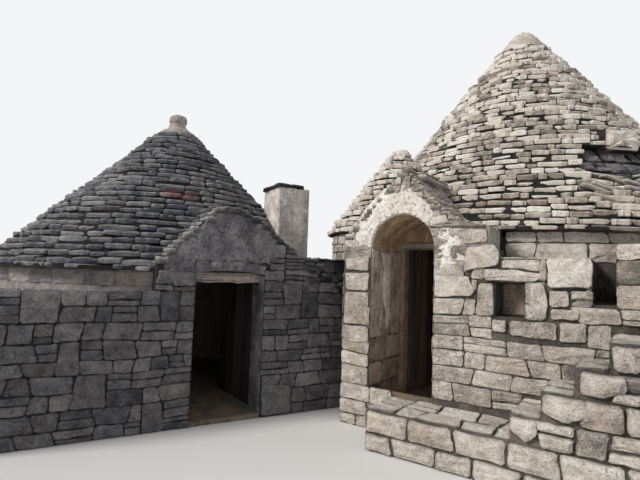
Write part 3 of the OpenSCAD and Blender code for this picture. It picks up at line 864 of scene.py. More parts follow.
        def corner(low_u: float, high_u: float, v: float, du: float, dv: float) -> Pair:
            """A corner on the row's waving line, moved in by half a joint."""
            share = (v - v0) / (v1 - v0)
            u = low_u + (high_u - low_u) * share
            calm = min(1.0, (v - bounds[0]) / CALM, (bounds[1] - v) / CALM)
            rise = noise.noise(Vector((u * 1.6, v * 3.0, self.seed))) * laying.wave * max(calm, 0.0)
            return u + du, v + rise + dv

        bottom, top = cell
        corners = [
            corner(a0, a1, bottom, half, half), corner(b0, b1, bottom, -half, half),
            corner(b0, b1, top, -half, -half), corner(a0, a1, top, half, -half),
        ]
        widths = (corners[1][0] - corners[0][0], corners[2][0] - corners[3][0])
        if max(widths) < NARROWEST or sum(widths) * 2 < top - bottom:
            return
        if widths[1] < POINTED:
            middle = (corners[2][0] + corners[3][0]) / 2
            corners = [corners[0], corners[1], (middle, corners[2][1])]
        elif widths[0] < POINTED:
            middle = (corners[0][0] + corners[1][0]) / 2
            corners = [(middle, corners[0][1]), corners[2], corners[3]]
        self.stone(place, corners, laying)

    def plate(self, place: Place, low: Pair, high: Pair, thick: float) -> None:
        """Lay one flat slab on a level place, between two corners."""
        (u0, u1), (v0, v1) = (sorted(pair) for pair in zip(low, high))
        self.stone(place, rectangle(u0, v0, u1, v1), PLATES, thick, sunk=0.015)

    def piece(self, name: str, finish: Finish, slot: str, replaces: Sequence[str] = ()) -> None:
        """Make the heap one finished piece of the house, in place of some nodes."""
        mesh = bpy.data.meshes.new(name)
        mesh.from_pydata([(x, y, max(z, 0.0)) for x, y, z in self.points], [], self.faces)
        for quantity, values in (("tone", self.tones), ("dirt_and_shade", self.dirt_and_shade)):
            mesh.attributes.new(quantity, "FLOAT", "POINT").data.foreach_set("value", values)
        mesh.validate()
        tie(name, mesh, finish, replaces=replaces)


PLATES = Laying(joint=0.008, bulge=0.0, rough=0.007, bevel=0.012)


@dataclass(frozen=True)
class Verge:
    """Flat slabs in steps up a gable's slope, from just before its face back to the cone behind it."""

    front: Front
    slope: Outline
    middle: Pair
    cone: Cone
    thick: Pair = (0.045, 0.085)
    lap: float = 0.035
    inwards: float = 0.34
    ridge: float = 0.08

    def _edge(self, z: float) -> float:
        """The slope's place along the wall at a height."""
        for (s0, z0), (s1, z1) in zip(self.slope, self.slope[1:]):
            if z <= z1:
                return s0 + (s1 - s0) * max(0.0, z - z0) / (z1 - z0)
        return self.slope[-1][0]

    def _depth(self, s: float, z: float) -> float:
        """How far back the cone's surface lies."""
        radius = self.cone.radius(z)
        across = s - self.middle[0]
        return self.middle[1] - math.sqrt(max(radius * radius - across * across, 0.01))

    def lay(self, heap: StoneHeap, glint_tips: StoneHeap) -> None:
        """Add the slabs to a heap, and the short ones at the face to another."""
        rng = heap.rng
        z = self.slope[0][1] - 0.01
        top = self.slope[-1][1]
        toward = 1 if self.slope[-1][0] > self.slope[0][0] else -1
        while z < top:
            thick = rng.uniform(*self.thick)
            edge = self._edge(z + thick * 0.5)
            n = -rng.uniform(0.0, 0.03)
            end = self._depth(edge, z) + 0.15
            widest = min(self.inwards, (top - z) * 1.7 + self.ridge)
            inwards = min(rng.uniform(0.05, 0.15), widest)
            while n < end:
                length = rng.uniform(0.20, 0.40)
                out = edge - toward * self.lap * rng.uniform(0.2, 1.3)
                pile = heap if n > 0 else glint_tips
                corner = (out + toward * inwards, n + length)
                pile.plate(self.front.top(z), (out, n), corner, thick * rng.uniform(0.85, 1.05))
                inwards = widest
                n = max(n + length + 0.008, 0.1)
            z += thick * 0.94


# Plaster and mortar


@dataclass
class Coat:
    """A skin of plaster on a face: a closed sheet with an uneven front."""

    outline: Outline
    depth: float = 0.014
    pitch: float = 0.03
    swell: float = 0.010
    ragged: float = 0.0
    seed: int = 1
    back: float = -0.02
    feather: float = 0.0
    soft: Outline = ()

    def add(self, shell: bmesh.types.BMesh, place: Place) -> None:
        """Add the coat to a mesh.

        Args:
            shell: the mesh that gathers the coats.
            place: where the face's points lie.
        """
        sheet = bmesh.new()
        verts = [sheet.verts.new((u, v, 0.0)) for u, v in self._edge()]
        for a, b in zip(verts, [*verts[1:], verts[0]]):
            sheet.edges.new((a, b))
        bmesh.ops.triangle_fill(
            sheet, use_beauty=True, use_dissolve=False, edges=sheet.edges[:], normal=(0, 0, 1),
        )
        low = [min(p.co[axis] for p in sheet.verts) for axis in (0, 1)]
        high = [max(p.co[axis] for p in sheet.verts) for axis in (0, 1)]
        for axis in (0, 1):
            normal = Vector((1 - axis, axis, 0))
            for i in range(1, math.ceil((high[axis] - low[axis]) / self.pitch)):
                point = normal * (low[axis] + i * self.pitch)
                everything = sheet.verts[:] + sheet.edges[:] + sheet.faces[:]
                bmesh.ops.bisect_plane(sheet, geom=everything, plane_co=point, plane_no=normal, dist=0.002)
        bmesh.ops.recalc_face_normals(sheet, faces=sheet.faces[:])
        if sum(f.normal.z for f in sheet.faces) < 0:
            bmesh.ops.reverse_faces(sheet, faces=sheet.faces[:])
        rim = [e.verts[:] for e in sheet.edges if e.is_boundary]
        front = sheet.verts[:]
        for vert in front:
            vert.co.z = 0.0 if vert.is_boundary else self._height(vert.co)
        twin = bmesh.ops.duplicate(sheet, geom=sheet.verts[:] + sheet.edges[:] + sheet.faces[:])["vert_map"]
        for vert in front:
            twin[vert].co.z = self.back
        for a, b in rim:
            sheet.faces.new((a, b, twin[b], twin[a]))
        for vert in sheet.verts:
            vert.co = place(*vert.co)
        bmesh.ops.recalc_face_normals(sheet, faces=sheet.faces[:])
        scrap = meshed("scrap", sheet)
        shell.from_mesh(scrap)
        bpy.data.meshes.remove(scrap)

    def _edge(self) -> list[Pair]:
        """The outline, broken up where its edge is ragged."""
        if not self.ragged:
            return list(self.outline)
        rng = random.Random(self.seed)
        points = []
        for (u0, v0), (u1, v1) in zip(self.outline, [*self.outline[1:], self.outline[0]]):
            length = math.hypot(u1 - u0, v1 - v0)
            steps = max(1, round(length / 0.07))
            for i in range(steps):
                share = i / steps
                off = rng.uniform(-self.ragged, self.ragged)
                points.append((
                    u0 + (u1 - u0) * share - (v1 - v0) / length * off,
                    v0 + (v1 - v0) * share + (u1 - u0) / length * off,
                ))
        return points

    def _height(self, at: Vector) -> float:
        """How far the front stands out at a point; near a feathered edge it sinks between the stones."""
        spot = Vector((at.x, at.y, self.seed * 7.7))
        height = self.depth + self.swell * (noise.noise(spot * 5.0) + 0.5 * noise.noise(spot * 17.0))
        if not self.feather:
            return height
        line = self.soft or [*self.outline, self.outline[0]]
        near = min(self._distance(at, a, b) for a, b in zip(line, line[1:]))
        return height - max(0.0, 1 - near / self.feather) * (self.depth + 0.006)

    @staticmethod
    def _distance(at: Vector, a: Pair, b: Pair) -> float:
        """How far a point lies from an edge."""
        edge = Vector(b) - Vector(a)
        off = Vector((at.x, at.y)) - Vector(a)
        share = max(0.0, min(1.0, off.dot(edge) / edge.length_squared))
        return (off - edge * share).length


def coats(name: str, finish: Finish, parts: Iterable[tuple[Coat, Place]]) -> None:
    """Make several coats one finished piece."""
    shell = bmesh.new()
    for coat, place in parts:
        coat.add(shell, place)
    tie(name, meshed(name, shell), finish)


def bands(shell: bmesh.types.BMesh, rings: Sequence[Sequence[bmesh.types.BMVert]]) -> None:
    """Add the faces between each ring of points and the next."""
    for low, high in zip(rings, rings[1:]):
        for i in range(len(low)):
            j = (i + 1) % len(low)
            shell.faces.new((low[i], low[j], high[j], high[i]))


def turned(
    name: str, finish: Finish, slot: str, axis: Vector, outline: Outline, rough: float,
    replaces: Sequence[str] = (),
) -> None:
    """Make a rough round stone about an upright axis.

    Args:
        name: the piece's name.
        finish: what it is made of.
        slot: not used.
        axis: a point of the axis.
        outline: radius and height of its rings, from the foot to the top.
        rough: how far the surface strays.
        replaces: the nodes whose place it takes.
    """
    steps = 40
    shell = bmesh.new()
    rings = []
    for radius, z in outline:
        ring = []
        for i in range(steps):
            angle = math.tau * i / steps
            spot = around(axis, angle, radius, z)
            off = rough * (noise.noise(spot * 9.0) + 0.5 * noise.noise(spot * 27.0))
            ring.append(shell.verts.new(spot + Vector((math.cos(angle), math.sin(angle), 0.4)) * off))
        rings.append(ring)
    bands(shell, rings)
    shell.faces.new(list(reversed(rings[0])))
    shell.faces.new(rings[-1])
    bmesh.ops.recalc_face_normals(shell, faces=shell.faces[:])
    tie(name, meshed(name, shell), finish, replaces=replaces)


# Slab courses by Geometry Nodes


class Courses(Graph):
    """A node tree that lays courses of slabs up a cone."""

    KEY_STEP = 997.0
    JOINT_STRAY = 0.34
    INSET = 0.03
    INPUTS = {
        "Int": ("Courses", "Seed"),
        "Vector": ("Centre",),
        "Collection": ("Slabs",),
        "Object": ("Clear Of",),
        "Material": ("Finish",),
        "Float": (
            "Foot Radius", "Top Radius", "Foot Height", "Top Height", "Slab Width", "Gap", "Proud", "Uneven",
            "Tilt", "Thickness", "Missing From", "Missing To", "Missing Low", "Missing High", "Wave",
        ),
    }

    def __init__(self) -> None:
        """Build the tree."""
        super().__init__(bpy.data.node_groups.new("slab_courses", "GeometryNodeTree"))
        face = self.tree.interface
        for way in ("INPUT", "OUTPUT"):
            face.new_socket("Geometry", in_out=way, socket_type="NodeSocketGeometry")
        self.ids: dict[str, str] = {}
        for kind, names in self.INPUTS.items():
            for name in names:
                self.ids[name] = face.new_socket(
                    name, in_out="INPUT", socket_type=f"NodeSocket{kind}",
                ).identifier
        outputs = self.tree.nodes.new("NodeGroupInput").outputs
        self.asked = {name: Value(outputs[name]) for name in self.ids}
        self._build()

    def _random(self, low: object, high: object, key: Value, order: int, kind: str = "FLOAT") -> Value:
        """A random number for each key; the order keeps the draws apart."""
        inputs = {"Min": low, "Max": high, "ID": key, "Seed": self.asked["Seed"] + order}
        return self.given("FunctionNodeRandomValue", inputs, data_type=kind)

    def _kept(self, name: str) -> Value:
        """A number kept on the points."""
        return self.given("GeometryNodeInputNamedAttribute", {"Name": name}, data_type="FLOAT")

    def _keep(self, geometry: Value, domain: str = "POINT", **values: object) -> Value:
        """Keep numbers on the points or instances."""
        for name, value in values.items():
            inputs = {"Geometry": geometry, "Name": name, "Value": value}
            geometry = self.given("GeometryNodeStoreNamedAttribute", inputs, data_type="FLOAT", domain=domain)
        return geometry

    def _build(self) -> None:
        """Lay the points of the slabs, then the slabs."""
        asked = self.asked
        line = self.given(
            "GeometryNodeMeshLine", {"Count": asked["Courses"], "Offset": (0.0, 0.0, 0.0)}, mode="OFFSET",
        )
        course = self.given("GeometryNodeInputIndex")
        share = course / asked["Courses"]

        def along(quantity: str) -> Value:
            """Between its foot and its top by the course's share of the height."""
            low = asked[f"Foot {quantity}"]
            return low + share * (asked[f"Top {quantity}"] - low)

        radius = along("Radius")
        count = (radius * math.tau / asked["Slab Width"]).to("ROUND").to("MAXIMUM", 5.0)
        points = self._keep(line, course=course, radius=radius, height=along("Height"), count=count)
        inputs = {"Geometry": points, "Amount": self._kept("count")}
        doubled = self.add("GeometryNodeDuplicateElements", inputs, domain="POINT").outputs
        points = self._keep(Value(doubled["Geometry"]), place=doubled["Duplicate Index"])

        kept = ("course", "radius", "height", "count", "place")
        course, radius, height, count, here = (self._kept(name) for name in kept)
        following = (here + 1.0).to("MODULO", count)
        offset = self._random(0.0, 1.0, course, 1)

        def edge(index: Value, order: Value) -> Value:
            """Angle of a joint between two slabs."""
            shift = self._random(-self.JOINT_STRAY, self.JOINT_STRAY, course * self.KEY_STEP + index, 0)
            return (order + (shift + offset)) / count * math.tau

        start, end = edge(here, here), edge(following, here + 1.0)
        angle = (start + end) * 0.5
        width = (end - start) * radius - asked["Gap"]
        key = course * self.KEY_STEP + here
        reach = radius + asked["Proud"] + self._random(asked["Uneven"] * -0.6, asked["Uneven"], key, 2)
        cos, sin = angle.to("COSINE"), angle.to("SINE")
        spot = self.vector(radius * cos, radius * sin, height)
        ripple = self.given("ShaderNodeTexNoise", {"Vector": spot, "Scale": 1.3, "Detail": 2.0})
        rise = height + (ripple - 0.5) * asked["Wave"] + self._random(-0.008, 0.012, key, 3)
        at = self.vectors("ADD", asked["Centre"], self.vector(reach * cos, reach * sin, rise))
        points = self._keep(points, angle=angle, width=width, key=key)
        points = self.given("GeometryNodeSetPosition", {"Geometry": points, "Position": at})
        self._laid(self._dropped(points))

    def _dropped(self, points: Value) -> Value:
        """Drop the slabs in the fallen patch and inside what stands against the cone."""
        asked = self.asked
        angle, height = self._kept("angle"), self._kept("height")
        turned = angle - (angle > math.pi) * math.tau
        fallen = (turned > asked["Missing From"]) * (turned < asked["Missing To"])
        fallen = fallen * (height > asked["Missing Low"]) * (height < asked["Missing High"])
        body = self.add("GeometryNodeObjectInfo", {"Object": asked["Clear Of"]}, transform_space="ORIGINAL")
        inset = self.vector(angle.to("COSINE") * -self.INSET, angle.to("SINE") * -self.INSET, 0.045)
        ray = self.add("GeometryNodeRaycast", {
            "Target Geometry": body.outputs["Geometry"],
            "Source Position": self.vectors("ADD", self.given("GeometryNodeInputPosition"), inset),
            "Ray Direction": (0.0, 0.0, 1.0),
            "Ray Length": 20.0,
        }).outputs
        normal = self.add("ShaderNodeSeparateXYZ", {0: ray["Hit Normal"]}).outputs["Z"]
        covered = Value(ray["Is Hit"]) * (Value(normal) > 0.0)
        inputs = {"Geometry": points, "Selection": fallen + covered > 0.5}
        return self.given("GeometryNodeDeleteGeometry", inputs, domain="POINT")

    def _laid(self, points: Value) -> None:
        """Put a slab on every point, realize and finish them."""
        asked = self.asked
        key = self._kept("key")
        course_h = (asked["Top Height"] - asked["Foot Height"]) / asked["Courses"]
        inputs = {"Collection": asked["Slabs"], "Separate Children": True, "Reset Children": True}
        slabs = self.given("GeometryNodeCollectionInfo", inputs)
        thick = course_h * asked["Thickness"] * self._random(0.84, 1.10, key, 4)
        turn = self.vector(
            self._random(-0.035, 0.035, key, 5),
            asked["Tilt"] + self._random(-0.06, 0.06, key, 6),
            self._kept("angle") + self._random(-0.05, 0.05, key, 7),
        )
        laid = self.given("GeometryNodeInstanceOnPoints", {
            "Points": points,
            "Instance": slabs,
            "Pick Instance": True,
            "Instance Index": self._random(0, 999, key, 8, "INT"),
            "Rotation": turn,
            "Scale": self.vector(1.0, self._kept("width"), thick),
        })
        laid = self._keep(laid, "INSTANCE", tone=self._random(-1.0, 1.0, key, 9))
        real = self.given("GeometryNodeRealizeInstances", {"Geometry": laid})
        done = self.given("GeometryNodeSetMaterial", {"Geometry": real, "Material": asked["Finish"]})
        self.add("NodeGroupOutput", {0: done})


class SlabStore:
    """Loose slabs of several shapes, to be laid by the courses' tree."""

    def __init__(self, seed: int, count: int = 12, depth: float = 0.17, ends: float = 1.0) -> None:
        """Shape the slabs; ends says how round theirs are, from 0 to 1."""
        self.rng = random.Random(seed)
        self.ends = ends
        self.collection = bpy.data.collections.new(f"slabs_{seed}")
        for i in range(count):
            mesh = self._shape(depth)
            slab = bpy.data.objects.new(f"slab_{seed}_{i}", mesh)
            self.collection.objects.link(slab)

    def _shape(self, depth: float) -> bpy.types.Mesh:
        """One slab: x outwards to 0, a unit wide and a unit high, thinner towards its rounded ends."""
        rng = self.rng
        body = bmesh.new()
        dirt_and_shade = body.verts.layers.float.new("dirt_and_shade")
        rings = []
        slope = rng.uniform(-0.03, 0.03)
        belly = rng.uniform(0.35, 0.65)
        blunt = [1 - self.ends * rng.uniform(0.25, 0.75) for _ in (0, 1)]
        sharp = 1 - 0.5 * (1 - self.ends)
        for y, end in (
            (-0.5, 1.0), (-0.455, 0.42), (-0.27, 0.08), (0.0, 0.0), (0.25, 0.08), (0.45, 0.42), (0.5, 1.0),
        ):
            full = 1 - end * (1 - blunt[y > 0])
            front = slope * y * 2 + rng.uniform(-0.012, 0.012) - (0.015 + 0.03 * self.ends) * end
            low = (1 - full) * 0.5 + rng.uniform(0.0, 0.10)
            high = 1 - (1 - full) * 0.5 - rng.uniform(0.0, 0.12)
            middle = low + (high - low) * belly
            # The third number of each point darkens it as painted shade: most at the slab's back, less under
            # its front lip and at its top's back.
            profile = (
                (-depth, 0.06, 1.0), (front - rng.uniform(0.012, 0.032) * sharp, low, 0.6),
                (front - 0.004, low + (middle - low) * 0.4 * sharp, 0.0),
                (front, middle + (high - middle) * (1 - 0.6 * sharp), 0.0),
                (front - rng.uniform(0.006, 0.024) * sharp, high, 0.0),
                (-0.08, high + rng.uniform(-0.02, 0.04), 0.3), (-depth, 0.94, 1.0),
            )
            ring = []
            for x, z, dark in profile:
                vert = body.verts.new((x, y + rng.uniform(-0.008, 0.008), z))
                vert[dirt_and_shade] = dark
                ring.append(vert)
            rings.append(ring)
        size = len(rings[0])
        for a, b in zip(rings, rings[1:]):
            for i in range(size):
                j = (i + 1) % size
                body.faces.new((a[i], b[i], b[j], a[j]))
        body.faces.new(list(reversed(rings[0])))
        body.faces.new(rings[-1])
        bmesh.ops.recalc_face_normals(body, faces=body.faces[:])
        return meshed("slab", body)

    def drop(self) -> None:
        """Remove the loose slabs."""
        for slab in list(self.collection.objects):
            bpy.data.objects.remove(slab)
        bpy.data.collections.remove(self.collection)


@dataclass
class SlabCone:
    """The outer slabs of a cone."""

    name: str
    slot: str
    finish: Finish
    centre: Vector
    foot_r: float
    top_r: float
    foot_z: float
    top_z: float
    courses: int
    width: float
    seed: int
    proud: float = 0.018
    uneven: float = 0.022
    thickness: float = 0.88
    tilt: float = 0.07
    missing: tuple[float, float, float, float] = (10.0, 10.0, 0.0, 0.0)
    gap: float = 0.008
    wave: float = 0.10

    def build(self, tree: Courses, store: SlabStore, clear_of: Piece) -> None:
        """Lay the slabs and make them one piece.

        Args:
            tree: the node tree that lays them.
            store: the loose slabs.
            clear_of: what stands against the cone, where no slab lies.
        """
        carrier = linked("carrier", bpy.data.meshes.new("carrier"))
        layer = carrier.modifiers.new("courses", "NODES")
        layer.node_group = tree.tree
        values = (
            self.courses, self.seed, tuple(self.centre), store.collection, clear_of, Paint.of(self.finish),
            self.foot_r, self.top_r, self.foot_z, self.top_z, self.width, self.gap, self.proud, self.uneven,
            self.tilt, self.thickness, *self.missing, self.wave,
        )
        for identifier, value in zip(tree.ids.values(), values, strict=True):
            layer[identifier] = value
        graph = bpy.context.evaluated_depsgraph_get()
        laid = carrier.evaluated_get(graph)
        mesh = bpy.data.meshes.new_from_object(laid, preserve_all_data_layers=True, depsgraph=graph)
        mesh.name = self.name
        bpy.data.objects.remove(carrier)
        tie(self.name, mesh, self.finish)


# Door leaves


@dataclass
class Leaf:
    """A leaf of upright boards on rails, turned about its pin."""

    name: str
    node: str
    body: Body
    slot: str
    finish: Finish
    front: Front
    pin: Pair
    low: float
    width: float
    height: float
    angle: float
    mirrored: bool
    rails: tuple[float, ...]
    seed: int
    broken_above: float = 0.0
    boards: int = 4
    face: float = -0.05
    board_t: float = 0.027
    leaf_t: float = 0.045
    rail_h: float = 0.11
    heel: float = 0.02
    half_gap: float = 0.0035
    strap_h: float = 0.06
    strap_t: float = 0.008

    def _matrix(self) -> Matrix:
        """Where the leaf's own frame lies: the pin at its origin and the leaf along +x."""
        at = self.front.at(*self.pin, self.low)
        flip = Matrix.Scale(-1, 4, (1, 0, 0)) if self.mirrored else Matrix.Identity(4)
        return (
            Matrix.Translation(at) @ Matrix.Rotation(math.radians(self.front.turn), 4, "Z") @ flip
            @ Matrix.Rotation(math.radians(self.angle), 4, "Z")
        )

    def _bar(
        self, shell: bmesh.types.BMesh, low: Vector, high: Vector, cuts: tuple[int, int, int],
        rng: random.Random, left: Callable[[float], float] | None = None,
        right: Callable[[float], float] | None = None, top: Callable[[float], float] | None = None,
        uneven: float = 0.0012,
    ) -> None:
        """Add a bar or board with slightly uneven faces.

        Args:
            shell: the mesh that gathers them.
            low: the lowest corner.
            high: the highest corner.
            cuts: how many cells it has along each axis.
            rng: the leaf's random draws.
            left: the left edge's x by height, if it isn't straight.
            right: the right edge's x by height.
            top: the top's height by x.
            uneven: the most that a point moves.
        """
        tone = rng.uniform(-1, 1)
        grid: dict[tuple[int, int, int], bmesh.types.BMVert] = {}
        layer = shell.verts.layers.float.get("tone") or shell.verts.layers.float.new("tone")
        for i in range(cuts[0] + 1):
            for j in range(cuts[1] + 1):
                for k in range(cuts[2] + 1):
                    if 0 < i < cuts[0] and 0 < j < cuts[1] and 0 < k < cuts[2]:
                        continue
                    share = Vector((i / cuts[0], j / cuts[1], k / cuts[2]))
                    z = low.z + (high.z - low.z) * share.z
                    x0 = left(z) if left else low.x
                    x1 = right(z) if right else high.x
                    x = x0 + (x1 - x0) * share.x
                    if top:
                        z = low.z + (top(x) - low.z) * share.z
                    y = low.y + (high.y - low.y) * share.y
                    spot = Vector((x * 23, y * 23, z * 5))
                    off = noise.noise_vector(spot) * uneven
                    vert = shell.verts.new(Vector((x, y, z)) + off)
                    vert[layer] = tone
                    grid[i, j, k] = vert
        made = []
        for axis in range(3):
            a, b = (axis + 1) % 3, (axis + 2) % 3
            for side in (0, cuts[axis]):
                for p in range(cuts[a]):
                    for q in range(cuts[b]):
                        ring = []
                        for dp, dq in ((0, 0), (1, 0), (1, 1), (0, 1)):
                            key = [0, 0, 0]
                            key[axis], key[a], key[b] = side, p + dp, q + dq
                            ring.append(grid[tuple(key)])
                        made.append(shell.faces.new(ring if side else ring[::-1]))
        edges = [e for f in made for e in f.edges if e.calc_face_angle(0.0) > 1.0]
        bmesh.ops.bevel(shell, geom=list(dict.fromkeys(edges)), offset=0.0022, segments=1, affect="EDGES")

    def build(self) -> None:
        """Make the boards and rails one piece, and the straps and knuckles another."""
        rng = random.Random(self.seed)
        wood = bmesh.new()
        back = self.face + self.board_t
        pitch = (self.width - self.heel) / self.boards
        for i in range(self.boards):
            x0, x1 = self.heel + i * pitch, self.heel + (i + 1) * pitch
            broken = self.broken_above and i >= self.boards // 2

            def slit(z: float) -> float:
                """Half the gap between the boards at a height."""
                if not self.broken_above:
                    return self.half_gap
                share = max(0.0, 1 - z / (self.broken_above - 0.14))
                return self.half_gap + 0.011 * share

            def left(z: float, x0: float = x0, i: int = i) -> float:
                """Left edge of the board."""
                return x0 + (slit(z) if i else 0.0)

            def right(z: float, x1: float = x1, i: int = i) -> float:
                """Right edge of the board."""
                return x1 - (slit(z) if i < self.boards - 1 else 0.0)

            def top(x: float, x0: float = x0) -> float:
                """The board's broken top."""
                saw = 0.035 * math.sin((x - x0) * 61.0) + 0.025 * math.sin((x - x0) * 143.0 + 1.0)
                return self.broken_above + 0.01 + saw + 0.2 * max(0.0, 0.06 - (x - x0))

            thin = rng.uniform(0.0, 0.003)
            self._bar(
                wood, Vector((x0, self.face + thin, 0.0)), Vector((x1, back, self.height)), (5, 1, 20), rng,
                left, right, top if broken else None,
            )
        for z in self.rails:
            reach = self.width - 0.04
            if self.broken_above and z > self.broken_above:
                reach = self.heel + 2 * pitch - 0.01
            high = Vector((reach, self.face + self.leaf_t, z + self.rail_h))
            self._bar(wood, Vector((0.04, back - 0.001, z)), high, (14, 1, 2), rng)
        wood.transform(self._matrix())
        bmesh.ops.recalc_face_normals(wood, faces=wood.faces[:])
        tie(self.name, meshed(self.name, wood), self.finish, self.body, (self.node,))
        self._straps()

    def _straps(self) -> None:
        """Make the hinges' straps and knuckles as one piece."""
        rng = random.Random(self.seed + 1)
        iron = bmesh.new()
        back = self.face + self.board_t
        for z in (self.height * 0.16 + 0.12, self.height * 0.82 - 0.08):
            reach = self.width * (0.6 if not self.broken_above or z < self.broken_above else 0.45)
            low = Vector((0.0, back, z))
            top = z + self.strap_h
            self._bar(iron, low, Vector((reach, back + self.strap_t, top)), (10, 1, 2), rng, uneven=0.0006)
            self._bar(iron, low, Vector((0.018, -0.012, top)), (1, 1, 1), rng, uneven=0.0)
            for i in range(4):
                nail = bmesh.ops.create_uvsphere(iron, u_segments=10, v_segments=6, radius=0.009)["verts"]
                for vert in nail:
                    at = Vector((0.08 + i * (reach - 0.12) / 3, back + self.strap_t, z + self.strap_h / 2))
                    vert.co = at + vert.co * 0.9
            self._knuckle(iron, z)
        iron.transform(self._matrix())
        bmesh.ops.recalc_face_normals(iron, faces=iron.faces[:])
        name = f"{self.name}_iron"
        tie(name, meshed(name, iron), RUSTED_IRON, self.body)

    def _knuckle(self, iron: bmesh.types.BMesh, z: float) -> None:
        """Add a ring about the pin."""
        rings = []
        count = 20
        inner, outer, top = 0.0086, 0.017, z + self.strap_h
        for radius, height in ((inner, z), (outer, z), (outer, top), (inner, top)):
            ring = [around(Vector(), i * math.tau / count, radius, height) for i in range(count)]
            rings.append([iron.verts.new(point) for point in ring])
        bands(iron, [*rings, rings[0]])


# The house


@dataclass
class Roofs:
    """The slabs of the three cones and of their eaves."""

    left_courses: int = 26
    right_courses: int = 38
    small_courses: int = 16

    def build(self, nodes: dict[str, Piece]) -> None:
        """Lay all slabs."""
        tree = Courses()
        thick = SlabStore(11, ends=0.8)
        thin = SlabStore(12, ends=0.35)
        clear = self._block("clear", nodes, (
            "left_gable", "hearth_wall", "middle_wall", "chimney", "right_gable", "right_porch_roof",
            "small_roof",
        ))
        clear_small = self._block("clear_small", nodes, (
            "right_gable", "right_porch_roof", "right_roof", "left_roof", "right_door_head",
        ))
        cones = (
            SlabCone(
                "left_cone_slabs", "left_slabs", SHADED_SLABS, LEFT_AXIS, 2.76, 0.324, 1.98, 4.416,
                self.left_courses, 0.32, 5, uneven=0.018, thickness=0.92,
            ),
            SlabCone(
                "left_eaves_slabs", "left_slabs", SHADED_SLABS, LEFT_AXIS, 2.79, 2.79, 1.93, 1.98, 1, 0.42, 6,
                proud=0.0, uneven=0.015, thickness=1.3, tilt=0.0, wave=0.0,
            ),
            SlabCone(
                "right_cone_slabs", "right_slabs", CREAM_SLABS, RIGHT_AXIS, 3.31, 0.403, 2.65, 6.42,
                self.right_courses, 0.24, 7, proud=0.014, uneven=0.040, thickness=0.86, tilt=0.10, wave=0.13,
                missing=(math.radians(PATCH_START), math.radians(PATCH_END), 3.30, 3.90),
            ),
            SlabCone(
                "right_eaves_slabs", "right_slabs", CREAM_SLABS, RIGHT_AXIS, 3.34, 3.34, 2.60, 2.65, 1, 0.40,
                8, proud=0.0, uneven=0.02, thickness=1.2, tilt=0.0, wave=0.0,
            ),
        )
        for cone in cones:
            cone.build(tree, thick if cone.finish is SHADED_SLABS else thin, clear)
        small = SlabCone("small_cone_slabs", "right_slabs", SMALL_SLABS, SMALL_AXIS, 1.18, 0.09, 2.632, 4.112,
                         self.small_courses, 0.19, 9, proud=0.012, uneven=0.035, thickness=0.88, tilt=0.08,
                         wave=0.08)
        small.build(tree, thin, clear_small)
        for helper in (clear, clear_small):
            bpy.data.objects.remove(helper)
        turned("left_finial_stone", PINK_STONES, "left_slabs", LEFT_AXIS, [
            (0.42, 4.40), (0.38, 4.43), (0.345, 4.46), (0.31, 4.50), (0.25, 4.535), (0.205, 4.57),
            (0.172, 4.605), (0.15, 4.64), (0.138, 4.67), (0.136, 4.69), (0.15, 4.705), (0.157, 4.73),
            (0.158, 4.77), (0.15, 4.81), (0.12, 4.832), (0.04, 4.84),
        ], 0.016, ("left_finial",))
        turned("small_tip_stone", SMALL_SLABS, "right_slabs", SMALL_AXIS, [
            (0.13, 4.08), (0.15, 4.10), (0.15, 4.125), (0.12, 4.15), (0.05, 4.165), (0.01, 4.167),
        ], 0.02)
        turned("right_tip_mortar", TIP_PLASTER, "right_slabs", RIGHT_AXIS, [
            (0.50, 6.40), (0.475, 6.43), (0.44, 6.475), (0.395, 6.53), (0.35, 6.59), (0.30, 6.65),
            (0.255, 6.71), (0.215, 6.76), (0.19, 6.80), (0.125, 6.82), (0.085, 6.845), (0.05, 6.875),
            (0.025, 6.90), (0.008, 6.915),
        ], 0.014)
        thick.drop()
        thin.drop()

    @staticmethod
    def _block(name: str, nodes: dict[str, Piece], names: Sequence[str]) -> Piece:
        """Copies of some nodes and the arched porch's space as one mesh, to keep slabs out of them."""
        joined = bmesh.new()
        for node in names:
            joined.from_mesh(nodes[node].data)
        turn = Matrix.Rotation(math.radians(RIGHT.turn), 4, "Z")
        low = 2.3
        for top in (2.5, 2.6, 2.65, 2.7, 2.75, 2.8):
            size = Matrix.Diagonal((1.24, 1.06, top - low, 1.0))
            middle = Matrix.Translation(RIGHT.at(0.0, 0.52, (low + top) / 2))
            bmesh.ops.create_cube(joined, size=1.0, matrix=middle @ turn @ size)
        return linked(name, meshed(name, joined))


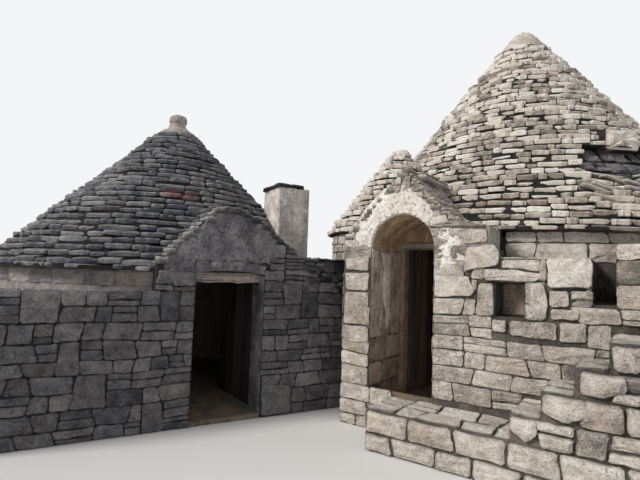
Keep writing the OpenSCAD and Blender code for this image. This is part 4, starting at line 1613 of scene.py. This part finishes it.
@dataclass
class LeftSide:
    """The left front, the hearth wall and the left round wall."""

    head: tuple[Pair, ...] = (
        (-0.31, 1.925), (-0.075, 1.959), (0.16, 1.97), (0.395, 1.959), (0.63, 1.925),
    )
    slope: tuple[Pair, ...] = ((1.226, 2.17), (0.80, 2.485), (0.626, 2.625), (0.24, 2.80))
    plaster: tuple[Pair, ...] = (
        (-0.06, 2.77), (-0.72, 2.11), (-0.74, 1.88), (-0.32, 1.86), (-0.33, 2.08), (-0.10, 2.09),
        (0.30, 2.10), (0.62, 2.06), (0.72, 1.98), (0.84, 2.05), (0.90, 2.30), (0.80, 2.46), (0.62, 2.60),
        (0.24, 2.77),
    )

    def build(self) -> None:
        """Lay its stones and coats."""
        front = LEFT.face(0.0)
        outline = [
            (-2.95, 0.0), (-0.31, 0.0), *self.head, (0.63, 0.0), (2.80, 0.0), (2.80, 2.2), (2.35, 2.2),
            (2.35, 1.77), (1.9, 1.77), (1.35, 1.85), (1.35, 1.93), *self.slope, (-0.04, 2.81), (-0.805, 2.05),
            (-0.805, 1.6), (-2.95, 1.6),
        ]
        band = [(-0.33, 1.935), (-0.31, 1.927), *self.head[1:4], (0.645, 1.93), (0.655, 2.05), (0.32, 2.105),
                (-0.32, 2.085)]
        block = [(-0.79, 1.79), (-0.33, 1.79), (-0.335, 1.93), (-0.78, 1.95)]
        base = [(0.66, 0.02), (1.10, 0.02), (1.10, 0.39), (0.66, 0.46)]
        jamb = [(0.632, 0.02), (0.655, 0.02), (0.655, 1.92), (0.632, 1.92)]
        stones = StoneHeap(21)
        laying = Laying(
            rows=(0.14, 0.23), widths=(0.17, 0.42), proud=(0.010, 0.024), wave=0.03, split=0.22, tall=0.10,
        )
        coated = [
            (-0.08, 2.72), (-0.70, 2.12), (-0.70, 1.96), (-0.34, 1.95), (0.0, 2.05), (0.30, 2.06),
            (0.60, 2.03), (0.72, 2.10), (0.78, 2.30), (0.72, 2.44), (0.56, 2.58), (0.22, 2.73),
        ]
        beside = [(0.94, 1.80), (1.35, 1.80), (1.35, 1.93), (1.226, 2.17), (0.94, 2.38)]
        thin = Laying(
            rows=(0.045, 0.075), widths=(0.14, 0.34), proud=(0.008, 0.03), joint=0.008, wave=0.02,
            rough=0.008,
        )
        stones.wall(front, [outline, block, base, beside], laying, [coated, band, jamb])
        stones.wall(front, [beside], thin)
        stones.stone(front, block, laying, 0.03, 0.1)
        stones.stone(front, base, laying, 0.03, 0.3)
        stones.wall(LEFT.face(0.6), [rectangle(1.80, 1.78, 2.35, 2.2)], laying)
        stones.wall(LEFT.side_left(2.35), [rectangle(-0.6, 1.78, 0.0, 2.2)], laying)
        stones.piece("left_front_stones", SHADED_GREY_STONES, "left_front")
        coats("left_plaster", GREY_PLASTER, [
            (Coat(self.plaster, 0.014, 0.035, 0.012, 0.02, 2, feather=0.12, soft=self.plaster[7:12]), front),
            (Coat(band, 0.022, 0.03, 0.008, 0.0, 3), front),
            (Coat(rectangle(-0.12, 0.0, 0.0, 1.915), 0.008, 0.03, 0.006, 0.0, 5), LEFT.side_left(0.63)),
            (Coat(rectangle(-0.398, 0.062, -0.12, 1.80), 0.004, 0.035, 0.005, 0.0, 6), LEFT.side_left(0.63)),
            (Coat(rectangle(0.002, 0.062, 0.398, 1.80), 0.004, 0.035, 0.005, 0.0, 7), LEFT.side_right(-0.31)),
        ])
        lintel = StoneHeap(25)
        block = [(-0.40, 1.82), (-0.10, 1.80), (0.10, 1.815), (0.30, 1.80), (0.45, 1.815), (0.72, 1.80),
                 (0.72, 1.95), (-0.40, 1.95)]
        rough = Laying(bulge=0.004, rough=0.022, bevel=0.014)
        lintel.stone(LEFT.face(0.13), block, rough, 0.012, 0.1, 0.27)
        lintel.piece("left_lintel_stone", PINK_STONES, "left_front", ("left_lintel",))
        self._slabs()
        self._chimney()
        self._round()

    def _slabs(self) -> None:
        """Lay the slabs of the porch's roof, of the hearth's and on the walls' tops."""
        slabs = StoneHeap(23)
        # The short slabs at the left slope's face take a paler finish: a painted highlight for the sunlit
        # glints along the verge.
        glint_tips = StoneHeap(26)
        rng = slabs.rng
        Verge(LEFT, ((-0.805, 2.05), (-0.04, 2.81)), LEFT_MIDDLE, LEFT_CONE, ridge=0.34).lay(slabs, glint_tips)
        right = ((1.30, 1.93), *self.slope)
        Verge(LEFT, right, LEFT_MIDDLE, LEFT_CONE, inwards=0.42, ridge=0.34).lay(slabs, slabs)
        slabs.plate(LEFT.top(2.166), (-0.90, 0.25), (-0.60, 0.62), 0.085)
        for course in range(6):
            low, reach = 0.06 * course, 1.90 - 0.09 * course
            s = 1.27
            while s < reach:
                length = min(rng.uniform(0.16, 0.34), reach + 0.04 - s)
                z = 1.85 - 0.08 * max(0.0, (s + length * 0.5 - 1.35) / 0.55) + low
                slabs.plate(
                    LEFT.top(z), (s, -rng.uniform(0.0, 0.035)), (s + length, 0.3), rng.uniform(0.045, 0.062),
                )
                s += length + 0.01
        tops = Laying(rows=(0.22, 0.34), widths=(0.26, 0.5), proud=(0.012, 0.035), joint=0.012, bevel=0.014)
        slabs.wall(LEFT.top(1.6), [[
            (-2.95, 0.0), (-0.805, 0.0), (-0.805, 0.19), (-1.35, 0.42), (-1.9, 0.83), (-2.35, 1.38),
            (-2.60, 1.9), (-2.68, 2.6), (-2.95, 0.6),
        ]], tops)
        slabs.wall(LEFT.top(2.2), [[
            (2.35, 0.0), (2.81, 0.0), (2.81, 2.0), (2.44, 2.0), (2.44, 1.86), (2.28, 1.45), (2.05, 1.1),
            (1.78, 0.78), (1.78, 0.60), (2.35, 0.60),
        ]], tops)
        slabs.wall(LEFT.top(1.77), [[(1.91, 0.0), (2.35, 0.0), (2.35, 0.6), (1.91, 0.6)]], tops)
        slabs.piece("left_top_slabs", SHADED_SLABS, "left_slabs")
        # Painted highlight: the pale tips along the left verge.
        glint_tips.piece("left_verge_tips", ROUND_STONES, "left_slabs")

    def _chimney(self) -> None:
        """Coat the chimney and lay its cap, which has lost its right front corner."""
        low, top = 1.95, 3.396
        coats("chimney_coat", CHIMNEY_PLASTER, [
            (Coat(rectangle(1.214, low, 1.782, top), 0.012, 0.04, 0.012, 0.0, 51), LEFT.face(0.907)),
            (Coat(rectangle(-1.521, low, -0.893, top), 0.010, 0.04, 0.010, 0.0, 52), LEFT.side_left(1.228)),
            (Coat(rectangle(0.893, low, 1.521, top), 0.010, 0.04, 0.010, 0.0, 53), LEFT.side_right(1.768)),
            (Coat(rectangle(-1.782, low, -1.214, top), 0.012, 0.04, 0.010, 0.0, 54), LEFT.back(1.507)),
        ])
        cap = StoneHeap(24)
        for low_corner, high_corner in (
            ((1.185, 0.865), (1.40, 1.035)), ((1.41, 0.87), (1.660, 1.035)), ((1.19, 1.045), (1.355, 1.30)),
            ((1.185, 1.31), (1.355, 1.55)), ((1.365, 1.38), (1.60, 1.548)), ((1.61, 1.385), (1.81, 1.55)),
            ((1.642, 1.155), (1.808, 1.375)),
        ):
            cap.plate(LEFT.top(3.402), low_corner, high_corner, cap.rng.uniform(0.042, 0.052))
        cap.piece("chimney_cap_slabs", DARK_SLAB, "dark_slab", ("chimney_cap",))

    def _round(self) -> None:
        """Lay the round wall's blocks and the middle wall's back."""
        drum = Drum(LEFT_AXIS, 2.65, LEFT.turn)
        right, left, back = drum.arc(-17), drum.arc(181), drum.arc(254.5)
        stones = StoneHeap(22)
        laying = Laying(rows=(0.26, 0.33), widths=(0.34, 0.70), proud=(0.008, 0.016), joint=0.008, wave=0.015,
                        split=0.06, tall=0.0)
        outline = [(right, 0.0), (left, 0.0), (left, 1.6), (back, 1.6), (back, 1.925), (right, 1.925)]
        stones.wall(drum.face(), [outline], laying)
        stones.wall(LEFT.back(2.0), [rectangle(-4.3, 0.0, -2.45, 2.2)], laying)

        def side(u: float, v: float, d: float) -> Vector:
            """Place on the front wall's left end, which slants back to the round wall; u runs forwards."""
            return LEFT.at(-2.95 + max(0.0, -u - 0.6) * 0.102 - d, -u, v)

        stones.wall(side, [rectangle(-2.7, 0.0, 0.0, 1.6)], laying)
        stones.piece("left_round_stones", ROUND_STONES, "left_wall")


@dataclass
class RightSide:
    """The right front, its stair, and the right round wall."""

    arch_r: float = 0.43
    arch_steps: int = 12
    spring: float = 2.34
    landing: float = 0.45
    steps: int = 7
    rise: float = 0.25
    going: float = 0.27
    first_step: float = 1.44
    stair_end: float = 3.33
    stair_w: float = 0.64
    slope: tuple[Pair, ...] = ((1.08, 2.58), (0.824, 2.63), (0.61, 2.74), (0.374, 2.99), (0.04, 3.37))

    def arch(self, radius: float) -> list[Pair]:
        """Points of the arch from its left foot over the crown to its right foot."""
        turns = [math.pi * (1 - i / self.arch_steps) for i in range(self.arch_steps + 1)]
        return [(radius * math.cos(a), self.spring + radius * math.sin(a)) for a in turns]

    def tread(self, step: int) -> float:
        """Height under a step, counted from 0 at the landing."""
        return self.landing + self.rise * step

    def nosing(self, step: int) -> float:
        """Where a step starts along the wall."""
        return self.first_step + self.going * step

    def build(self) -> None:
        """Lay its stones and coats."""
        front = RIGHT.face(0.0)
        outline = self._front_outline()
        named: list[tuple[list[Pair], float, float]] = [
            ([(1.04, 1.955), (1.56, 1.96), (1.63, 2.0), (1.63, 2.05), (1.36, 2.09), (1.04, 2.09)],
             0.045, 0.5),
            ([(1.22, 2.10), (1.38, 2.10), (1.62, 2.07), (1.62, 2.195), (1.22, 2.195)], 0.02, 0.2),
            ([(1.50, 1.57), (1.67, 1.56), (1.69, 1.73), (1.65, 1.95), (1.52, 1.95)], 0.04, 0.5),
            ([(1.69, 1.90), (2.09, 1.91), (2.10, 2.16), (2.075, 2.23), (1.67, 2.21)], 0.06, 0.9),
            ([(0.80, 2.06), (1.19, 2.13), (1.20, 2.29), (1.14, 2.37), (0.83, 2.34)], 0.045, 0.5),
            ([(0.80, 2.38), (1.07, 2.39), (1.06, 2.55), (0.86, 2.56), (0.72, 2.50)], 0.03, 0.3),
            ([(0.445, 1.74), (0.88, 1.77), (0.93, 1.83), (0.86, 2.0), (0.445, 2.01)], 0.035, 0.5),
            ([(0.93, 1.56), (1.14, 1.56), (1.13, 1.93), (0.97, 1.92)], 0.03, 0.1),
            ([(1.12, 1.39), (1.27, 1.40), (1.27, 1.53), (1.12, 1.53)], 0.03, 0.5),
            ([(1.30, 1.37), (1.54, 1.36), (1.77, 1.36), (1.77, 1.54), (1.30, 1.53)], 0.02, 0.0),
            ([(1.70, 1.70), (1.885, 1.71), (1.88, 1.88), (1.70, 1.875)], 0.03, 0.3),
            ([(1.72, 1.57), (1.97, 1.59), (1.98, 1.69), (1.71, 1.685)], 0.035, 0.4),
            ([(1.79, 1.35), (2.04, 1.37), (2.04, 1.56), (1.79, 1.55)], 0.03, 0.0),
            ([(1.90, 1.79), (2.10, 1.80), (2.10, 1.88), (1.90, 1.88)], 0.05, 0.2),
            ([(-0.82, 2.04), (-0.46, 2.03), (-0.46, 2.23), (-0.84, 2.23)], 0.02, 0.0),
            ([(-0.80, 1.77), (-0.46, 1.77), (-0.45, 2.01), (-0.83, 2.0)], 0.025, 0.2),
            ([(-0.83, 1.31), (-0.46, 1.32), (-0.46, 1.75), (-0.82, 1.74)], 0.02, 0.0),
            ([(-0.82, 1.07), (-0.45, 1.10), (-0.45, 1.30), (-0.83, 1.29)], 0.025, 0.1),
            ([(0.37, 2.585), (0.62, 2.64), (0.58, 2.74), (0.38, 2.72)], 0.03, 0.6),
        ]
        rim = [(0.38, 2.66), (0.42, 2.80), (0.36, 2.94), (0.16, 3.10), (-0.02, 3.20), (-0.28, 3.12),
               (-0.50, 2.92), (-0.76, 2.62), (-0.74, 2.42), (-0.54, 2.33)]
        coated = [*self.arch(0.40)[:10], (0.34, 2.70), (0.34, 2.86), (0.12, 3.02), (-0.02, 3.10),
                  (-0.25, 3.03), (-0.45, 2.86), (-0.68, 2.60), (-0.66, 2.46), (-0.52, 2.40)]
        smear = [(0.45, 2.00), (0.82, 2.04), (0.90, 2.20), (0.84, 2.38), (0.76, 2.50), (0.62, 2.66),
                 (0.48, 2.64), (0.45, 2.36)]
        jamb = [(0.26, 1.80), (0.36, 1.30), (0.47, 1.12), (0.60, 1.50), (0.58, 2.34), (0.22, 2.34)]
        stones = StoneHeap(31)
        laying = Laying(
            rows=(0.16, 0.27), widths=(0.22, 0.50), proud=(0.010, 0.028), wave=0.035, split=0.16, tall=0.14,
        )
        rubble = Laying(
            rows=(0.06, 0.13), widths=(0.09, 0.24), proud=(0.0, 0.03), wave=0.03, split=0.1, rough=0.018,
        )
        niche = rectangle(1.15, 1.56, 1.46, 1.94)
        gable = [(-0.85, self.spring), (-self.arch_r, self.spring), *self.arch(self.arch_r)[1:-1],
                 (self.arch_r, self.spring), (1.08, self.spring), *self.slope, (-0.85, 2.49)]
        cut = [corners for corners, _, _ in named]
        stones.wall(front, [outline, niche, *cut], laying, [gable])
        stones.wall(front, [gable, cut[-1]], rubble, [coated, *cut[:-1]])
        for corners, proud, tone in named:
            stones.stone(front, corners, laying, proud, tone)
        stones.piece("right_front_stones", CREAM_STONES, "right_wall")
        coats("right_plaster", WHITE_PLASTER, [
            (Coat([*self.arch(0.431)[:10], *rim], 0.030, 0.03, 0.016, 0.0, 12, feather=0.16, soft=rim),
             front),
            (Coat(jamb, 0.026, 0.03, 0.010, 0.01, 13, feather=0.08), RIGHT.side_right(-0.43)),
        ])
        coats("pier_plaster", CHIMNEY_PLASTER, [
            (Coat(smear, 0.024, 0.03, 0.014, 0.02, 16, feather=0.12), front),
        ])
        self._arch_inside()
        self._slabs()
        self._fallen()
        self._stair()
        self._round()

    def _arch_inside(self) -> None:
        """Lay the reveals, the soffit, the head over the door and its lintel."""
        stones = StoneHeap(34)
        squared = Laying(rows=(0.22, 0.34), widths=(0.26, 0.50), proud=(0.006, 0.012), joint=0.008, wave=0.01,
                         split=0.05, tall=0.0)
        reveal = [(0.0, 0.45), (0.3, 0.45), (0.3, 0.25), (0.9, 0.25), (0.9, 2.34), (0.0, 2.34)]
        plastered = [(0.0, 1.15), (0.5, 1.05), (0.9, 1.15), (0.9, 2.34), (0.0, 2.34)]
        stones.wall(
            RIGHT.side_right(-0.43), [reveal], squared, [[(0.0, 1.4), (0.9, 1.4), (0.9, 2.34), (0.0, 2.34)]],
        )
        stones.wall(RIGHT.side_left(0.43), [[(-u, v) for u, v in reversed(reveal)]], squared)
        stones.stone(RIGHT.face(0.32), rectangle(1.16, 1.57, 1.45, 1.93), squared, 0.012, 0.2)
        stones.piece("arch_stones", WARM_STONES, "right_plaster")
        coats("reveal_coat", REVEAL_PLASTER, [
            (Coat(plastered, 0.014, 0.035, 0.012, 0.0, 17, feather=0.2, soft=plastered[:3]),
             RIGHT.side_right(-0.43)),
        ])

        def soffit(u: float, v: float, d: float) -> Vector:
            """Place on the arch's underside; u is the arc from the right foot and v is the depth."""
            angle, reach = u / self.arch_r, self.arch_r - d
            return RIGHT.at(reach * math.cos(angle), v, self.spring + reach * math.sin(angle))

        head = [(-0.405, 2.47), (0.405, 2.47), *reversed([p for p in self.arch(0.425) if p[1] > 2.48])]
        coats("arch_plaster", OCHRE_PLASTER, [
            (Coat(rectangle(0.01, 0.01, math.pi * self.arch_r - 0.01, 0.90), 0.006, 0.04, 0.007, 0.0, 14),
             soffit),
            (Coat(head, 0.008, 0.035, 0.006, 0.0, 15), RIGHT.face(0.9)),
        ])
        lintel = StoneHeap(35)
        lintel.stone(RIGHT.face(0.9), rectangle(-0.41, 2.385, 0.41, 2.475), PLATES, 0.035, 0.2)
        lintel.piece("door_lintel", PINK_STONES, "right_plaster")

    def _slabs(self) -> None:
        """Lay the slabs of the porch's roof."""
        slabs = StoneHeap(36)
        left = ((-0.85, 2.49), self.slope[-1])
        Verge(RIGHT, left, RIGHT_MIDDLE, RIGHT_CONE, (0.04, 0.075), 0.02).lay(slabs, slabs)
        Verge(RIGHT, self.slope, RIGHT_MIDDLE, RIGHT_CONE, (0.03, 0.055), 0.02, 0.24).lay(slabs, slabs)
        slabs.piece("right_porch_slabs", CREAM_SLABS, "right_slabs")

    def _fallen(self) -> None:
        """Lay the stones of the fallen patch, the stone that bridges it and the slabs that slid down."""
        stones = StoneHeap(37)
        rng = stones.rng
        mean = 2.6

        def hollow(u: float, v: float, d: float) -> Vector:
            """Place on the hollow's back; u is the arc from the row's +X."""
            return around(RIGHT_AXIS, u / mean, RIGHT_CONE.radius(v) - 0.19 + d, v)

        rough = Laying(rows=(0.14, 0.22), widths=(0.20, 0.40), proud=(0.0, 0.08), joint=0.02, bulge=0.015,
                       rough=0.03, bevel=0.02, wave=0.04)
        patch = rectangle(mean * math.radians(PATCH_START), 3.33, mean * math.radians(PATCH_END), 3.92)
        # Painted shade: the hollow's stones take the left front's dark grey finish, standing for the shade
        # inside the hollow.
        shaded = StoneHeap(38)
        shaded.wall(hollow, [patch], rough)
        shaded.piece("patch_stones", SHADED_GREY_STONES, "right_slabs")

        def tangent(azimuth: float, reach: float, z: float, lean: float = 0.0, flat: bool = False) -> Place:
            """A place by the cone's surface, leant sideways; flat ones have their depth as v."""
            out = Vector((math.cos(azimuth), math.sin(azimuth), 0.0))
            side = Vector((-out.y, out.x, 0.0))
            along = side * math.cos(lean) + Vector((0, 0, math.sin(lean)))
            above = Vector((0, 0, math.cos(lean))) - side * math.sin(lean)
            start = RIGHT_AXIS + out * reach + Vector((0, 0, z))
            if flat:
                return lambda u, v, d: start + along * u - out * v + above * d
            return lambda u, v, d: start + along * u + above * v + out * d

        bridge = rectangle(-0.26, -0.15, 0.26, 0.15)
        stones.stone(tangent(math.radians(-81), 2.331, 4.03), bridge, rough, 0.02, 0.3, 0.2)
        for _ in range(26):
            azimuth = math.radians(rng.uniform(PATCH_START, -72))
            z = rng.uniform(2.86, 3.42)
            reach = RIGHT_CONE.radius(z) + 0.02
            half = rng.uniform(0.14, 0.28)
            place = tangent(azimuth, reach, z, math.radians(rng.uniform(-26, -6)), True)
            slab = rectangle(-half, rng.uniform(-0.05, 0.0), half, 0.28)
            stones.stone(place, slab, PLATES, rng.uniform(0.035, 0.06), 0.3, 0.01)
        stones.piece("fallen_stones", CREAM_SLABS, "right_slabs")

    def _front_outline(self) -> list[Pair]:
        """The front above the landing and the stair, left of the arch down to the ground."""
        risers = []
        for step in range(self.steps):
            risers += [
                (self.nosing(step), self.tread(step + 1)), (self.nosing(step + 1), self.tread(step + 1)),
            ]
        return [
            (-0.85, 0.0), (-0.1, 0.0), (-0.1, self.landing), (-self.arch_r, self.landing),
            *self.arch(self.arch_r), (self.arch_r, self.landing), (self.first_step, self.landing), *risers,
            (self.stair_end, 2.3), (2.29, 2.3), (2.29, 1.75), (2.08, 1.75), (2.08, 2.2), (1.08, 2.2),
            *self.slope, (-0.85, 2.49),
        ]

    def _stair(self) -> None:
        """Lay the landing's and the stair's blocks and treads."""
        stones = StoneHeap(32)
        laying = Laying(rows=(0.18, 0.30), widths=(0.24, 0.52), proud=(0.01, 0.05), joint=0.016, wave=0.03,
                        rough=0.012, bulge=0.014, bevel=0.025, split=0.1)
        coursed = Laying(rows=(self.rise, self.rise), widths=(0.22, 0.46), proud=laying.proud, joint=0.014,
                         bulge=0.014, bevel=0.025, split=0.15, tall=0.0)
        end, width = self.stair_end, self.stair_w
        flank = RIGHT.face(-width)
        named = [
            ([(1.44, 0.57), (1.59, 0.47), (1.69, 0.56), (1.69, 0.69), (1.45, 0.69)], 0.05, 0.4),
            ([(1.72, 0.78), (1.92, 0.71), (2.08, 0.80), (2.08, 0.94), (1.73, 0.94)], 0.06, 0.3),
            ([(2.03, 0.99), (2.20, 0.98), (2.38, 1.06), (2.37, 1.19), (2.03, 1.19)], 0.06, 0.2),
            ([(2.28, 1.22), (2.46, 1.22), (2.50, 1.44), (2.27, 1.44)], 0.06, 0.4),
        ]
        cut = [corners for corners, _, _ in named]
        stones.wall(flank, [rectangle(-0.1, 0.0, end, self.landing)], laying)
        for step in range(self.steps):
            course = rectangle(self.nosing(step), self.tread(step), end, self.tread(step) + self.rise)
            stones.wall(flank, [course], coursed, cut)
        for corners, proud, tone in named:
            stones.stone(flank, corners, laying, proud, tone)
        stones.wall(RIGHT.side_left(-0.1), [rectangle(0.0, 0.0, width, self.landing)], laying)
        stones.wall(
            RIGHT.side_right(end), [rectangle(-width, 0.0, 0.0, 2.2), rectangle(0.0, 0.0, 1.9, 2.3)], laying,
        )
        flat = Laying(
            rows=(0.2, 0.34), widths=(0.26, 0.5), proud=(0.012, 0.03), joint=0.014, wave=0.02, bevel=0.02,
        )
        stones.wall(RIGHT.top(self.landing), [rectangle(-0.1, -width, self.first_step, 0.0)], flat)
        for step in range(self.steps):
            tread = rectangle(self.nosing(step), -width, self.nosing(step + 1), 0.0)
            stones.wall(RIGHT.top(self.tread(step + 1)), [tread], flat)
        stones.wall(RIGHT.top(2.2), [rectangle(1.08, 0.0, 2.08, 1.0)], flat)
        stones.wall(RIGHT.top(2.3), [rectangle(2.29, 0.0, end, 1.9)], flat)
        stones.piece("stair_stones", CREAM_STONES, "right_wall")

    def _round(self) -> None:
        """Lay the round wall's blocks."""
        drum = Drum(RIGHT_AXIS, 3.2, RIGHT.turn)
        front, right, left = drum.arc(-83.2), drum.arc(-38.5), drum.arc(241)
        stones = StoneHeap(33)
        laying = Laying(
            rows=(0.19, 0.28), widths=(0.26, 0.60), proud=(0.010, 0.024), joint=0.010, wave=0.02, split=0.12,
        )
        outline = [(right, 0.0), (left, 0.0), (left, 2.595), (front, 2.595), (front, 2.2), (right, 2.2)]
        stones.wall(drum.face(), [outline], laying)
        stones.wall(RIGHT.side_left(-0.85), [rectangle(-1.17, 0.0, 0.0, 2.34)], laying)
        small = Drum(SMALL_AXIS, 1.11)
        low = Laying(rows=(0.09, 0.16), widths=(0.14, 0.32), proud=(0.0, 0.02))
        stones.wall(small.face(), [rectangle(small.arc(128), 2.21, small.arc(254), 2.63)], low)
        stones.piece("right_round_stones", CREAM_STONES, "right_wall")


@dataclass
class Studio:
    """The camera, the lights and the floor."""

    eye: tuple[float, float, float] = (-0.8, -7.75, 1.95)
    focal_px: float = 450.0
    width_px: float = 640.0
    pitch: float = 4.5
    roll: float = 2.0

    def build(self) -> None:
        """Set up the scene around the house."""
        scene = bpy.context.scene
        scene.view_settings.view_transform = "Standard"
        self._camera(scene)
        self._lights(scene)
        self._floor()

    def _camera(self, scene: bpy.types.Scene) -> None:
        """Place the camera where the photograph was taken from."""
        data = bpy.data.cameras.new("camera")
        data.sensor_width = 36.0
        data.lens = self.focal_px / self.width_px * data.sensor_width
        data.dof.use_dof = False
        pitch, roll = math.radians(self.pitch), math.radians(self.roll)
        ahead = Vector((0.0, math.cos(pitch), math.sin(pitch)))
        above = Vector((0.0, -math.sin(pitch), math.cos(pitch)))
        right = Vector((1.0, 0.0, 0.0)) * math.cos(roll) + above * math.sin(roll)
        up = above * math.cos(roll) - Vector((1.0, 0.0, 0.0)) * math.sin(roll)
        camera = linked("camera", data)
        frame = Matrix((right, up, -ahead)).transposed().to_4x4()
        camera.matrix_world = Matrix.Translation(self.eye) @ frame
        scene.camera = camera

    @staticmethod
    def _lights(scene: bpy.types.Scene) -> None:
        """A soft key from the left, and an even world."""
        key = bpy.data.lights.new("key", "SUN")
        key.energy = 2.55
        key.angle = math.radians(14)
        key.color = (1.0, 0.97, 0.93)
        lamp = linked("key", key)
        lamp.rotation_euler = Vector((0.93, 0.42, -0.72)).to_track_quat("-Z", "Y").to_euler()
        world = bpy.data.worlds.new("studio")
        world.use_nodes = True
        tree = world.node_tree
        tree.nodes.clear()
        path = tree.nodes.new("ShaderNodeLightPath")
        plain = tree.nodes.new("ShaderNodeBackground")
        plain.inputs["Color"].default_value = (0.93, 0.95, 1.0, 1.0)
        plain.inputs["Strength"].default_value = 0.5
        shown = tree.nodes.new("ShaderNodeBackground")
        shown.inputs["Color"].default_value = (0.90, 0.91, 0.92, 1.0)
        mix = tree.nodes.new("ShaderNodeMixShader")
        output = tree.nodes.new("ShaderNodeOutputWorld")
        tree.links.new(path.outputs["Is Camera Ray"], mix.inputs[0])
        tree.links.new(plain.outputs[0], mix.inputs[1])
        tree.links.new(shown.outputs[0], mix.inputs[2])
        tree.links.new(mix.outputs[0], output.inputs[0])
        scene.world = world

    @staticmethod
    def _floor() -> None:
        """A plain pale floor."""
        mesh = bpy.data.meshes.new("floor")
        reach = 60.0
        corners = rectangle(-reach, -reach, reach, reach)
        mesh.from_pydata([(x, y, -0.001) for x, y in corners], [], [(0, 1, 2, 3)])
        paint = bpy.data.materials.new("floor")
        paint.use_nodes = True
        surface = paint.node_tree.nodes["Principled BSDF"]
        surface.inputs["Base Color"].default_value = (0.74, 0.73, 0.71, 1.0)
        surface.inputs["Roughness"].default_value = 0.95
        mesh.materials.append(paint)
        linked("floor", mesh)


NODE_FINISHES: dict[Finish, tuple[str, ...]] = {
    ROUND_STONES: ("left_wall_east", "left_wall_north", "left_wall_west", "left_wall_south"),
    JOINT_SHADE: (
        "left_front_wall", "left_pier_left", "left_pier_right", "left_gable", "hearth_wall", "middle_wall",
    ),
    PINK_STONES: ("left_lintel", "left_finial"),
    CORE_SHADE: (
        "hearth_roof", "left_eaves", "left_roof", "small_roof", "right_porch_roof", "right_eaves",
        "right_roof",
    ),
    WARM_STONES: ("right_door_frame", "right_door_head", "arch_vault"),
    CHIMNEY_PLASTER: ("chimney",),
    DARK_SLAB: ("chimney_cap",),
    INNER_STONES: ("left_dome", "right_dome"),
    FLOOR_STONES: ("left_floor", "right_floor"),
    PALE_MORTAR: (
        "right_wall_east", "right_wall_north", "right_wall_west", "right_wall_south", "right_pier_left",
        "right_pier_right", "right_front_wall", "niche_lintel", "stair_wall", "landing", "stair",
    ),
    CREAM_STONES: ("right_gable",),
    RUSTED_IRON: ("left_pintles", "right_pintles"),
    GREY_BOARDS: ("left_door",),
    BROWN_BOARDS: ("right_door",),
}


def dress(nodes: dict[str, Piece]) -> None:
    """Give every node of the frame its finish."""
    for finish, names in NODE_FINISHES.items():
        for name in names:
            painted(nodes[name].data, finish)


def leaves() -> None:
    """Build the two door leaves."""
    Leaf(
        "left_boards", "left_door", Body.LEFT_LEAF, "left_planks", GREY_BOARDS, LEFT, (0.682, 0.460),
        low=0.07, width=1.03, height=1.77, angle=85.0, mirrored=True, rails=(0.2832, 0.995, 1.4514), seed=41,
        broken_above=1.105,
    ).build()
    Leaf(
        "right_boards", "right_door", Body.RIGHT_LEAF, "right_planks", BROWN_BOARDS, RIGHT, (-0.41, 1.12),
        low=0.26, width=0.795, height=2.16, angle=87.0, mirrored=False, rails=(0.3456, 1.08, 1.7712), seed=42,
    ).build()


NOISE_SEED = 5


def main() -> None:
    """Build the looks of the house in order."""
    logging.basicConfig(level=logging.INFO, format="%(name)s: %(message)s")
    noise.seed_set(NOISE_SEED)
    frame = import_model()
    nodes = frame["nodes"]
    Studio().build()
    dress(nodes)
    Roofs().build(nodes)
    LeftSide().build()
    RightSide().build()
    leaves()


if __name__ == "__main__":
    main()
